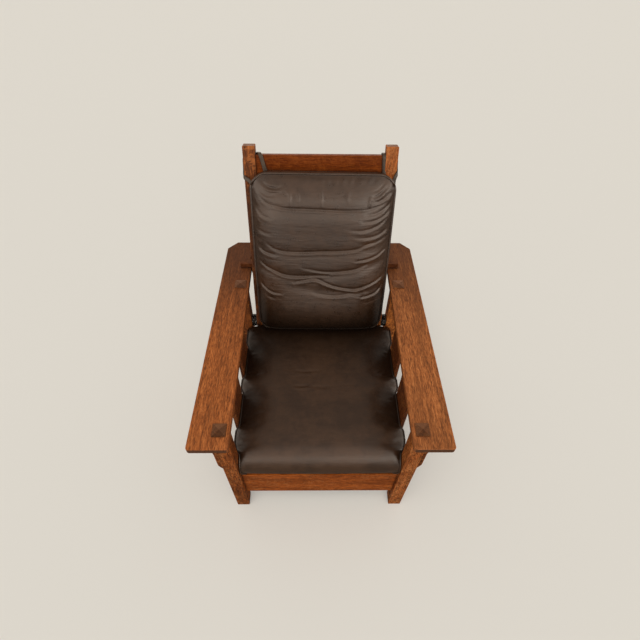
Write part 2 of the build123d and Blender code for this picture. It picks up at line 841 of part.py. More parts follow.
# Stop bar: its ends lie on the arms behind the posts, its deeper middle hangs between them
shoulder_x = arm_inner - bar_shoulder_gap
end_x = arm_inner + bar_overlap
with BuildPart() as bar:
    eased_block(
        -end_x, end_x, bar_front, bar_front + bar_depth,
        arm_top_height + slide_clearance, bar_top, Axis.X, bar_ease,
    )
    add_block(
        -shoulder_x, shoulder_x, bar_front, bar_front + bar_depth,
        arm_top_height - bar_drop, arm_top_height + bar_height / 2,
    )
save(bar, "stop_bar")
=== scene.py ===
"""Looks of the reclining oak armchair: oak, leather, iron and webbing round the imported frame.

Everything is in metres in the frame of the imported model: X across, -Y to the front, Z up.
"""

from __future__ import annotations

import json
import logging
import math
from dataclasses import dataclass
from enum import Enum

import bmesh
import bpy
import numpy as np
from mathutils import Matrix, Vector


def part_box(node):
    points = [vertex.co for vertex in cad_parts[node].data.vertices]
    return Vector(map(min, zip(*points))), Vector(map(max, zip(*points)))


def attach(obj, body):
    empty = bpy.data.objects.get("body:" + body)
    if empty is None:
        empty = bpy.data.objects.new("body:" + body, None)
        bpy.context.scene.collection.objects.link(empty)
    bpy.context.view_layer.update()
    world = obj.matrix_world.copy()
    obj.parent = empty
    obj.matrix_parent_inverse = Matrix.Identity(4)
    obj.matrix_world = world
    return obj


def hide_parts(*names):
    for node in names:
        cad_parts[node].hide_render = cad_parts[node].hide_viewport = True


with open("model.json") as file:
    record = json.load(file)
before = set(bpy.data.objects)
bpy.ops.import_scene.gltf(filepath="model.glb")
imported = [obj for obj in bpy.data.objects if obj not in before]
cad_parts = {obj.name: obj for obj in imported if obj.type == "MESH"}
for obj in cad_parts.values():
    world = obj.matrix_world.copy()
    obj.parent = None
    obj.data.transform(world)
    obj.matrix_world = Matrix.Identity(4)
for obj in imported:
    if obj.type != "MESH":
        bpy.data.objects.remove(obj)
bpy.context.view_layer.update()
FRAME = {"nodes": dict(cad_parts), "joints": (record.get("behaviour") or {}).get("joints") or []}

MM = 0.001
TINY = 1e-9
MERGE_DISTANCE = 1e-6
SEED = 1909
POST_LEAN = math.radians(16.6)
log = logging.getLogger("armchair")
Array = np.ndarray
Colour = tuple[float, float, float]
Place = tuple[float, float, float]
Piece = bpy.types.Object
Socket = bpy.types.NodeSocket


# Geometry helpers


@dataclass(frozen=True)
class LeaningAxes:
    """The back frame's own axes: X across, Y to the rear, Z up the posts, from a point on the pivot line."""

    pivot: Place
    lean: float

    @property
    def turn(self) -> Array:
        """The 3 by 3 matrix whose columns are the three axes."""
        c, s = math.cos(self.lean), math.sin(self.lean)
        return np.array([[1, 0, 0], [0, c, s], [0, -s, c]])

    def place(self, local: Array) -> Array:
        """Turns places on these axes into places in the chair.

        Args:
            local: an array whose last axis holds x, y and z on the leaning axes.

        Returns:
            The same places in the frame of the chair.
        """
        return local @ self.turn.T + np.array(self.pivot)

    def local(self, places: Array) -> Array:
        """Turns places in the chair into places on these axes."""
        return (places - np.array(self.pivot)) @ self.turn

    def measure(self, node: str) -> tuple[Array, Array]:
        """Gives the lowest and the highest corner of a CAD node on these axes."""
        local = self.local(read_points(FRAME["nodes"][node]))
        return local.min(0), local.max(0)


def grid_faces(rows: int, columns: int, closed: bool = False) -> Array:
    """Lists the quads of a grid of points stored row by row.

    Args:
        rows: how many rows of points there are.
        columns: how many points a row has.
        closed: whether each row's last point joins its first.

    Returns:
        An array of quads, each four point numbers, in the order row, next row, next point.
    """
    steps = columns if closed else columns - 1
    row, column = np.meshgrid(np.arange(rows - 1), np.arange(steps), indexing="ij")
    after = (column + 1) % columns
    near, far = row * columns, (row + 1) * columns
    return np.stack((near + column, near + after, far + after, far + column), axis=-1).reshape(-1, 4)


def smoothstep(low: float, high: float, value: Array) -> Array:
    """Rises from 0 to 1 between two limits along the cubic 3t squared minus 2t cubed.

    Args:
        low: where it is 0; it may lie above the other limit.
        high: where it is 1.
        value: the places to work it out at.

    Returns:
        The cubic's value at each place.
    """
    share = np.clip((value - low) / (high - low), 0, 1)
    return share * share * (3 - 2 * share)


def read_points(piece: Piece) -> Array:
    """Reads a mesh's points.

    Args:
        piece: the piece whose mesh is read.

    Returns:
        The points, one row each.
    """
    points = np.empty(len(piece.data.vertices) * 3)
    piece.data.vertices.foreach_get("co", points)
    return points.reshape(-1, 3)


def write_points(piece: Piece, points: Array) -> None:
    """Moves a mesh's points to new places."""
    piece.data.vertices.foreach_set("co", points.ravel())
    piece.data.update()


def make_mesh(name: str, points: Array, faces: list, smooth: bool = True, merge: float = 0.0) -> Piece:
    """Makes an object at the origin from points and faces.

    Args:
        name: the piece's name.
        points: its points in the chair's frame.
        faces: its faces, each a list of point numbers.
        smooth: whether its faces are shaded smooth.
        merge: if above 0, points closer than this are joined and faces without area are dropped.

    Returns:
        The new object, linked to the scene.
    """
    mesh = bpy.data.meshes.new(name)
    mesh.from_pydata(points.reshape(-1, 3).tolist(), [], faces)
    mesh.validate()
    piece = bpy.data.objects.new(name, mesh)
    bpy.context.scene.collection.objects.link(piece)
    if merge > 0:
        weld(piece, merge)
    mesh.polygons.foreach_set("use_smooth", np.full(len(mesh.polygons), smooth))
    mesh.update()
    return piece


def weld(piece: Piece, distance: float) -> None:
    """Joins a mesh's points that lie close together, drops faces without area and turns the rest outwards.

    Args:
        piece: the piece whose mesh is changed.
        distance: how close together points are joined, in metres.
    """
    shell = bmesh.new()
    shell.from_mesh(piece.data)
    bmesh.ops.remove_doubles(shell, verts=shell.verts, dist=distance)
    bmesh.ops.dissolve_degenerate(shell, edges=shell.edges, dist=distance / 2)
    bmesh.ops.recalc_face_normals(shell, faces=shell.faces)
    shell.to_mesh(piece.data)
    shell.free()


def smooth_path(points: Array, per_run: int, closed: bool = False) -> Array:
    """Runs a smooth curve through points.

    Each run between two points is the cubic whose slope at a point is half the step between its neighbours.

    Args:
        points: the places the curve goes through, with any further columns carried along alike.
        per_run: how many places each run gives.
        closed: whether the last point joins the first.

    Returns:
        The curve's places, the last point included if it is open.
    """
    runs = len(points) if closed else len(points) - 1
    if closed:
        padded = np.concatenate([points[-1:], points, points[:2]])
    else:
        padded = np.concatenate([2 * points[:1] - points[1:2], points, 2 * points[-1:] - points[-2:-1]])
    t = np.linspace(0, 1, per_run, endpoint=False)[None, :, None]
    p0, p1, p2, p3 = (padded[k : k + runs, None, :] for k in range(4))
    square, cube = 2 * p0 - 5 * p1 + 4 * p2 - p3, 3 * p1 - p0 - 3 * p2 + p3
    curve = 0.5 * (2 * p1 + (p2 - p0) * t + square * t**2 + cube * t**3)
    curve = curve.reshape(-1, points.shape[1])
    return curve if closed else np.concatenate([curve, points[-1:]])


def unit(vectors: Array) -> Array:
    """Scales vectors to length one."""
    return vectors / np.maximum(np.linalg.norm(vectors, axis=-1, keepdims=True), TINY)


def square_off(directions: Array, along: Array) -> Array:
    """Takes from each direction what it has along the path's own, and scales the rest to length one."""
    return unit(directions - (directions * along).sum(1, keepdims=True) * along)


def run_lengths(line: Array) -> Array:
    """Gives how far along a line of straight runs each of its points lies."""
    return np.concatenate([[0], np.cumsum(np.linalg.norm(np.diff(line, axis=0), axis=1))])


def tangents(path: Array, closed: bool) -> Array:
    """Gives the direction of a path at each place: the step between its two neighbours, at length one.

    Args:
        path: the path's places.
        closed: whether the path's end joins its start.

    Returns:
        The directions.
    """
    if closed:
        return unit(np.roll(path, -1, axis=0) - np.roll(path, 1, axis=0))
    return unit(np.gradient(path, axis=0))


def carry(name: str, path: Array, outward: Array, outline: Array, closed: bool = False) -> Piece:
    """Carries a closed outline along a path, which makes a strap, a tube or a band.

    A point of the outline lies at the path's place plus its first number across and its second outwards. An
    open path's ends are closed by triangles round their middles.

    Args:
        name: the piece's name.
        path: the path's places.
        outward: the direction that the outline's second number follows, at each place.
        outline: the outline's points, two numbers each.
        closed: whether the path's end joins its start.

    Returns:
        The new object.
    """
    along = tangents(path, closed)
    out = square_off(outward, along)
    across = np.cross(along, out)
    rings = path[:, None] + outline[None, :, :1] * across[:, None] + outline[None, :, 1:] * out[:, None]
    if closed:
        rings = np.concatenate([rings, rings[:1]])
    count, total = len(outline), rings.shape[0] * rings.shape[1]
    points = rings.reshape(-1, 3)
    faces = grid_faces(len(rings), count, closed=True).tolist()
    if not closed:
        points = np.concatenate([points, path[[0, -1]]])
        turn = np.arange(count)
        after = (turn + 1) % count
        last_ring = total - count
        for one, other, middle in ((after, turn, total), (last_ring + turn, last_ring + after, total + 1)):
            faces += np.stack([one, other, np.full(count, middle)], axis=1).tolist()
    return make_mesh(name, points, faces, merge=MERGE_DISTANCE)


def round_outline(radius: float, sides: int = 10) -> Array:
    """Gives a circle's points as an outline for carry()."""
    angle = np.linspace(0, 2 * math.pi, sides, endpoint=False)
    return radius * np.stack([np.cos(angle), np.sin(angle)], axis=1)


def band_outline(width: float, thickness: float, groove: float) -> Array:
    """Gives a strap's section: two plies with rounded edges and a shallow groove between them.

    Args:
        width: the strap's width.
        thickness: both plies' thickness together.
        groove: how deep the groove is at each edge.

    Returns:
        The section's points, across and outwards, as an outline for carry().
    """
    half = width / 2
    edge = min(thickness * 0.3, width * 0.2)
    right = [
        (half - edge, 0), (half, edge * 0.6), (half - groove, thickness / 2),
        (half, thickness - edge * 0.6), (half - edge, thickness),
    ]
    left = [(-x, y) for x, y in reversed(right)]
    return np.array(right + left)


# Material helpers


class Graph:
    """The node graph of a material or a world, built one node at a time."""

    def __init__(self, owner: bpy.types.Material | bpy.types.World) -> None:
        """Empties the owner's node tree.

        Args:
            owner: the material or the world.
        """
        self.owner = owner
        owner.use_nodes = True
        self.tree = owner.node_tree
        self.tree.nodes.clear()

    def node(self, kind: str, inputs: dict | None = None, **settings: object) -> bpy.types.Node:
        """Adds a node.

        Args:
            kind: the node's type without the words ShaderNode.
            inputs: its inputs by name or number, each a socket to link or a value to set.
            settings: its own properties.

        Returns:
            The new node.
        """
        made = self.tree.nodes.new("ShaderNode" + kind)
        for key, value in settings.items():
            setattr(made, key, value)
        for key, value in (inputs or {}).items():
            if isinstance(value, Socket):
                self.tree.links.new(value, made.inputs[key])
            else:
                made.inputs[key].default_value = value
        return made

    def math(self, operation: str, a: Socket | float, b: Socket | float = 0.0) -> Socket:
        """Adds one sum of two numbers."""
        return self.node("Math", {0: a, 1: b}, operation=operation).outputs[0]

    def times(self, a: Socket | float, b: Socket | float) -> Socket:
        """Multiplies two numbers."""
        return self.math("MULTIPLY", a, b)

    def weighted(self, *terms: tuple[Socket, float]) -> Socket:
        """Adds up numbers, each times its weight.

        Args:
            terms: the numbers with their weights.

        Returns:
            The sum.
        """
        first, *others = (self.times(value, weight) for value, weight in terms)
        for term in others:
            first = self.math("ADD", first, term)
        return first

    def object_place(self) -> Socket:
        """Gives the place on the object, in metres."""
        return self.node("TexCoord").outputs["Object"]

    def part(self, place: Socket, axis: str) -> Socket:
        """Gives one of a place's three numbers."""
        return self.node("SeparateXYZ", {0: place}).outputs[axis]

    def turned(self, place: Socket, turn: Place, shift: Place = (0.0, 0.0, 0.0)) -> Socket:
        """Turns a place about the origin and then shifts it."""
        return self.node("Mapping", {"Vector": place, "Rotation": turn, "Location": shift}).outputs[0]

    def stretched(self, place: Socket, factors: Place) -> Socket:
        """Multiplies a place's three numbers."""
        return self.node("VectorMath", {0: place, 1: factors}, operation="MULTIPLY").outputs[0]

    def swayed(self, place: Socket, noise: Socket, reach: Place) -> Socket:
        """Moves a place by a noise times a reach along each axis."""
        step = self.stretched(noise, reach)
        return self.node("VectorMath", {0: place, 1: step}, operation="ADD").outputs[0]

    def noise(
        self, place: Socket, scale: float, detail: float = 2.0, rough: float = 0.5, bend: float = 0.0
    ) -> Socket:
        """Adds a noise and gives its value.

        Args:
            place: the place to read it at.
            scale: how many blobs a metre has.
            detail: how many finer octaves lie on it.
            rough: how strong the finer octaves are.
            bend: how far the noise warps itself.

        Returns:
            The noise, from 0 to 1.
        """
        inputs = {"Vector": place, "Scale": scale, "Detail": detail, "Roughness": rough, "Distortion": bend}
        return self.node("TexNoise", inputs).outputs["Fac"]

    def drawn_noise(
        self, place: Socket, scales: Place, detail: float = 2.0, rough: float = 0.5, bend: float = 0.0
    ) -> Socket:
        """Adds a noise with a scale of its own along each axis and gives its value."""
        return self.noise(self.stretched(place, scales), 1.0, detail, rough, bend)

    def rise(self, value: Socket, low: float, high: float, start: float = 0.0, end: float = 1.0) -> Socket:
        """Maps a value along the cubic of smoothstep() and holds it beyond its limits.

        Args:
            value: the value to map.
            low: where the result is start.
            high: where the result is end; it may lie below the other limit.
            start: the result at low.
            end: the result at high.

        Returns:
            The mapped value.
        """
        inputs = {"Value": value, "From Min": low, "From Max": high, "To Min": start, "To Max": end}
        return self.node("MapRange", inputs, interpolation_type="SMOOTHSTEP", clamp=True).outputs[0]

    def mix(self, share: Socket, a: Socket | Colour, b: Socket | Colour) -> Socket:
        """Mixes two colours."""
        a, b = (colour if isinstance(colour, Socket) else (*colour, 1.0) for colour in (a, b))
        return self.node("Mix", {0: share, 6: a, 7: b}, data_type="RGBA").outputs[2]

    def bump(self, height: Socket, distance: float, strength: float, under: Socket | None = None) -> Socket:
        """Turns a height between 0 and 1 into a normal.

        Args:
            height: the height.
            distance: how many metres deep a height of 1 is.
            strength: the share of the bump that is kept.
            under: a normal that the bump is laid over, if there is one.

        Returns:
            The new normal.
        """
        inputs = {"Height": height, "Distance": distance, "Strength": strength}
        if under is not None:
            inputs["Normal"] = under
        return self.node("Bump", inputs).outputs[0]

    def edge_cosine(self, radius: float) -> Socket:
        """Gives the cosine between the true normal and a rounded one, which is below 1 near an arris.

        Args:
            radius: the radius over which the normal is rounded.

        Returns:
            The cosine.
        """
        rounded = self.node("Bevel", {"Radius": radius}, samples=4).outputs[0]
        true = self.node("NewGeometry").outputs["Normal"]
        return self.node("VectorMath", {0: rounded, 1: true}, operation="DOT_PRODUCT").outputs["Value"]

    def open_share(self, reach: float, samples: int) -> Socket:
        """Gives the share of the surroundings that a place sees free within a reach."""
        return self.node("AmbientOcclusion", {"Distance": reach}, samples=samples).outputs["AO"]

    def shine(self, inputs: dict) -> bpy.types.Material:
        """Ends the graph in a Principled shader.

        Args:
            inputs: the shader's inputs by name.

        Returns:
            The material.
        """
        shader = self.node("BsdfPrincipled", inputs)
        self.node("OutputMaterial", {"Surface": shader.outputs[0]})
        return self.owner


def new_graph(name: str) -> Graph:
    """Makes a material of that name and gives its empty graph."""
    return Graph(bpy.data.materials.new(name))


class Grain(Enum):
    """The way a board's grain runs, with the turn that brings it to local Z."""

    ACROSS = (0.0, -math.pi / 2, 0.0)
    DEEP = (math.pi / 2, 0.0, 0.0)
    UP = (0.0, 0.0, 0.0)
    LEANING = (POST_LEAN, 0.0, 0.0)


class Figure(Enum):
    """The layers of oak's figure: blobs per metre across and along the grain, octaves and roughness."""

    SWAY = (9.0, 3.0, 2.0, 0.5)
    BROAD = (34.0, 5.0, 3.0, 0.6)
    BAND = (140.0, 7.0, 2.0, 0.5)
    STREAK = (340.0, 42.0, 3.0, 0.6)
    FINE = (760.0, 120.0, 2.0, 0.6)
    PORE = (620.0, 55.0, 2.0, 0.5)

    def on(self, g: Graph, board: Socket) -> Socket:
        """Adds the layer to a board whose grain runs along Z and gives its value."""
        across, along, octaves, rough = self.value
        return g.drawn_noise(board, (across, across, along), octaves, rough)


@dataclass(frozen=True)
class OakFinish:
    """Fumed and waxed quarter-sawn oak: short dark streaks, open pores, ray fleck, grime with painted shade
    in corners and joints, and arrises lightened by wear with a painted highlight.

    A board may also be darker towards its rear, or carry a painted shadow on the run between two heights; its
    end grain has painted facet shading.
    """

    dark: Colour = (0.105, 0.032, 0.0095)
    mid: Colour = (0.235, 0.072, 0.0205)
    light: Colour = (0.39, 0.135, 0.042)
    pore: Colour = (0.05, 0.017, 0.008)
    fleck_colour: Colour = (0.47, 0.175, 0.05)
    end_colour: Colour = (0.085, 0.038, 0.019)
    grime_and_shade_colour: Colour = (0.03, 0.012, 0.006)
    rear_colour: Colour = (0.045, 0.017, 0.0075)
    painted_shadow_colour: Colour = (0.045, 0.015, 0.006)
    sway_reach: float = 16 * MM
    fleck: float = 0.35
    fleck_size: float = 9 * MM
    fleck_slant: Place = (0.35, 0.26, 0.0)
    pores: float = 0.6
    patch: float = 0.45
    rear_shade: float = 0.0
    rear_run: tuple[float, float] = (-0.1, 0.36)
    # A run of heights painted in shadow, how soft its ends are and how dark it gets.
    painted_shadow_band: tuple[float, float] = (0.0, 0.0)
    band_edge: float = 30 * MM
    band_share: float = 0.75
    gloss: float = 0.52
    shine: float = 0.22
    arris: float = 2.4 * MM
    grime_and_shade_reach: float = 9 * MM
    # How far end grain is painted lighter on facets that fall to the rear and darker on those in front.
    painted_rear_facet_light: float = 1.9
    painted_front_facet_shade: float = 0.6

    def material(self, name: str, grain: Grain, seed: int) -> bpy.types.Material:
        """Builds the finish for one board.

        Args:
            name: the material's name.
            grain: the way the board's grain runs.
            seed: a number that moves the figure, so that no two boards are alike.

        Returns:
            The material.
        """
        g = new_graph(name)
        place = g.object_place()
        shift = (0.37 * seed % 7.0, 0.61 * seed % 5.0, 0.83 * seed % 9.0)
        straight = g.turned(place, grain.value, shift)
        board = g.swayed(straight, Figure.SWAY.on(g, straight), (self.sway_reach, self.sway_reach, 0.0))
        broad, band, streak, fine = (
            layer.on(g, board) for layer in (Figure.BROAD, Figure.BAND, Figure.STREAK, Figure.FINE)
        )
        pore = g.rise(Figure.PORE.on(g, board), 0.52, 0.68)
        fleck = self._fleck(g, board)
        tone = g.weighted((streak, 0.5), (fine, 0.28), (band, 0.22))
        colour = g.mix(g.rise(tone, 0.4, 0.5), self.dark, self.mid)
        colour = g.mix(g.rise(tone, 0.5, 0.6), colour, self.light)
        colour = g.mix(g.rise(broad, 0.4, 0.66, 0.0, self.patch), colour, self.dark)
        colour = g.mix(g.times(pore, self.pores), colour, self.pore)
        colour = g.mix(g.times(fleck, self.fleck), colour, self.fleck_colour)
        if self.rear_shade > 0:
            share = g.rise(g.part(place, "Y"), *self.rear_run, 0.0, self.rear_shade)
            colour = g.mix(share, colour, self.rear_colour)
        # A painted shadow on the run between two heights.
        if self.painted_shadow_band[1] > 0:
            colour = g.mix(self._painted_shadow_share(g, g.part(place, "Z")), colour, self.painted_shadow_colour)
        # Arrises lightened by wear and by a painted highlight.
        colour = g.mix(self._wear_and_highlight(g), colour, self.light)
        colour = g.mix(self._end_share(g, grain), colour, self._end_tone_with_painted_facets(g))
        # Old wax and dust with painted shade darken the wood where little of the surroundings is open.
        colour = g.mix(self._grime_and_shade(g), colour, self.grime_and_shade_colour)
        relief = g.math("SUBTRACT", g.times(fine, 0.4), g.times(pore, 0.8))
        roughness = g.math("ADD", g.times(pore, 0.2), self.gloss)
        return g.shine({
            "Base Color": colour,
            "Roughness": g.math("SUBTRACT", roughness, g.times(fleck, 0.08)),
            "Specular IOR Level": self.shine,
            "Normal": g.bump(relief, 0.35 * MM, 0.5),
        })

    def _fleck(self, g: Graph, board: Socket) -> Socket:
        """Gives the share of ray fleck: ribbons and blotches aslant across the grain, in loose groups.

        Args:
            g: the board's graph.
            board: the place on the board, its grain along Z.

        Returns:
            The share, from 0 to 1.
        """
        slanted = g.turned(board, self.fleck_slant)
        ribbon_scales, blotch_scales, group_scales = (
            tuple(factor / self.fleck_size for factor in factors)
            for factors in ((0.8, 0.8, 1.5), (0.6, 0.6, 0.34), (0.14, 0.14, 0.08))
        )
        ribbons = g.drawn_noise(slanted, ribbon_scales, 2.0, 0.6, 1.4)
        blotches = g.drawn_noise(board, blotch_scales, 2.0, 0.5, 1.0)
        groups = g.drawn_noise(board, group_scales, 1.0)
        cells = g.weighted((ribbons, 0.55), (blotches, 0.45))
        return g.times(g.rise(cells, 0.5, 0.57), g.rise(groups, 0.36, 0.52))

    def _painted_shadow_share(self, g: Graph, height: Socket) -> Socket:
        """Gives the share of painted shadow on the board's run between two heights, with soft ends.

        Args:
            g: the board's graph.
            height: the height over the floor.

        Returns:
            The share, from 0 to band_share.
        """
        low, high = self.painted_shadow_band
        above = g.rise(height, low - self.band_edge, low + self.band_edge)
        below = g.rise(height, high + self.band_edge, high - self.band_edge)
        return g.times(g.times(above, below), self.band_share)

    def _wear_and_highlight(self, g: Graph) -> Socket:
        """Gives the share of wood lightened on the arrises, by wear and by a painted highlight.

        Args:
            g: the board's graph.

        Returns:
            The share, from 0 to 0.55.
        """
        edges = g.rise(g.edge_cosine(self.arris), 0.995, 0.93, 0.0, 0.55)
        patches = g.rise(g.noise(g.object_place(), 30.0), 0.3, 0.6, 0.3, 1.0)
        return g.times(edges, patches)

    def _grime_and_shade(self, g: Graph) -> Socket:
        """Gives the share of old wax and dust with painted shade, which gather close to a corner or a joint.
        """
        return g.rise(g.open_share(self.grime_and_shade_reach, 6), 0.9, 0.45, 0.0, 0.85)

    def _end_tone_with_painted_facets(self, g: Graph) -> Socket:
        """Gives the colour of end grain with painted facet shading: lighter and greyer on faces that fall to
        the rear, darker on those in front.

        Args:
            g: the board's graph.

        Returns:
            The colour.
        """
        normal = g.node("TexCoord").outputs["Normal"]
        rear, side = g.part(normal, "Y"), g.part(normal, "X")
        # Painted light on facets that fall to the rear and painted shade on those in front, by the normal's
        # Y.
        pale, deep = (tuple(share * c for c in self.end_colour) for share in (self.painted_rear_facet_light, self.painted_front_facet_shade))
        colour = g.mix(g.rise(rear, -0.12, 0.12), deep, pale)
        return g.mix(g.rise(g.math("ABSOLUTE", side), 0.1, 0.25, 0.0, 0.4), colour, self.end_colour)

    def _end_share(self, g: Graph, grain: Grain) -> Socket:
        """Gives how far a face is end grain: where its normal runs along the grain."""
        normal = g.turned(g.node("TexCoord").outputs["Normal"], grain.value)
        return g.rise(g.math("ABSOLUTE", g.part(normal, "Z")), 0.8, 0.93, 0.0, 0.85)


@dataclass(frozen=True)
class Dimming:
    """Where leather lies in shade: dimmest at one place along an axis, plain from another on."""

    axis: str
    dimmest: float
    plain: float
    share: float


@dataclass(frozen=True)
class LeatherFinish:
    """Upholstery leather: pebbled grain, fine wrinkles, a soft gloss and a mottled dye, with painted shade in
    corners.
    """

    base: Colour = (0.046, 0.0215, 0.0098)
    shade: Colour = (0.029, 0.0132, 0.006)
    painted_shade_colour: Colour = (0.0085, 0.0042, 0.0022)
    grain_size: float = 2.0 * MM
    gloss: float = 0.31
    relief: float = 0.06 * MM
    wrinkle: float = 0.35 * MM
    wrinkle_scales: Place = (16.0, 62.0, 95.0)
    fine_relief: float = 0.2 * MM
    painted_shade_reach: float = 260 * MM
    shine: float = 0.58
    dim: Dimming | None = None

    def material(self, name: str) -> bpy.types.Material:
        """Builds the finish.

        Args:
            name: the material's name.

        Returns:
            The material.
        """
        g = new_graph(name)
        place = g.object_place()
        mottle, rub = g.noise(place, 9.0, 3.0, 0.6), g.noise(place, 45.0, 3.0, 0.6)
        warped = g.swayed(place, g.noise(place, 300.0), (MM, MM, MM))
        cells = g.node("TexVoronoi", {"Vector": warped, "Scale": 1 / self.grain_size}, feature="SMOOTH_F1")
        pebble = g.rise(cells.outputs["Distance"], 0.15, 0.75, 1.0, 0.0)
        tone = g.weighted((mottle, 0.7), (rub, 0.3))
        colour = g.mix(g.rise(tone, 0.38, 0.62), self.shade, self.base)
        # Painted shade where the surroundings are hidden within the reach, in corners and beside neighbouring
        # parts.
        corner = g.rise(g.open_share(self.painted_shade_reach, 8), 0.88, 0.38, 0.0, 0.9)
        colour, shine = g.mix(corner, colour, self.painted_shade_colour), self.shine
        # Painted shade along the dimming's run: darker and less shiny.
        if self.dim:
            run = (g.part(place, self.dim.axis), self.dim.dimmest, self.dim.plain)
            colour = g.mix(g.rise(*run, self.dim.share, 0.0), colour, self.painted_shade_colour)
            shine = g.rise(*run, self.shine * (1 - self.dim.share), self.shine)
        drawn = g.drawn_noise(place, self.wrinkle_scales, 2.0, 0.6, 0.5)
        creased = g.bump(drawn, self.wrinkle * 6, 0.4, g.bump(g.noise(place, 160.0), self.fine_relief, 0.3))
        return g.shine({
            "Base Color": colour,
            "Roughness": g.math("ADD", g.rise(rub, 0.3, 0.7, -0.04, 0.06), self.gloss),
            "Specular IOR Level": shine,
            "Normal": g.bump(pebble, self.relief, 0.3, creased),
        })


@dataclass(frozen=True)
class IronFinish:
    """Blackened iron with bare patches and edges from wear, whose pale colour also paints its glints."""

    black: Colour = (0.018, 0.017, 0.016)
    bright: Colour = (0.5, 0.49, 0.47)
    bright_share: float = 0.25
    edge: float = 1.2 * MM

    def material(self, name: str) -> bpy.types.Material:
        """Builds the finish.

        Args:
            name: the material's name.

        Returns:
            The material.
        """
        g = new_graph(name)
        place = g.object_place()
        # Bare patches and edges: wear together with painted glints.
        bare_patch_and_glint = g.rise(g.noise(place, 130.0, 4.0, 0.6), 0.62 - 0.3 * self.bright_share, 0.72)
        bare_edge_and_glint = g.rise(g.edge_cosine(self.edge), 0.99, 0.9, 0.0, 0.7)
        return g.shine({
            "Base Color": g.mix(g.math("MAXIMUM", bare_patch_and_glint, bare_edge_and_glint), self.black, self.bright),
            "Metallic": 0.85,
            "Roughness": g.rise(bare_patch_and_glint, 0.0, 1.0, 0.34, 0.2),
            "Normal": g.bump(g.noise(place, 700.0, 3.0), 0.1 * MM, 0.5),
        })


@dataclass(frozen=True)
class WebbingFinish:
    """Woven jute: warp and weft as crossed ribs, the product of two sine waves, roughened by loose fibres."""

    yarn: Colour = (0.34, 0.235, 0.125)
    gap: Colour = (0.09, 0.058, 0.03)
    pitch: float = 2.4 * MM

    def material(self, name: str) -> bpy.types.Material:
        """Builds the finish.

        Args:
            name: the material's name.

        Returns:
            The material.
        """
        g = new_graph(name)
        place = g.object_place()
        across, along = (
            g.math("SINE", g.times(g.part(place, axis), 2 * math.pi / self.pitch)) for axis in ("X", "Y")
        )
        fibres = g.times(g.noise(place, 900.0), 0.5)
        height = g.rise(g.math("ADD", g.times(across, along), fibres), -0.6, 0.9)
        return g.shine({
            "Base Color": g.mix(height, self.gap, self.yarn),
            "Roughness": 0.9,
            "Specular IOR Level": 0.2,
            "Normal": g.bump(height, 0.5 * MM, 0.8),
        })


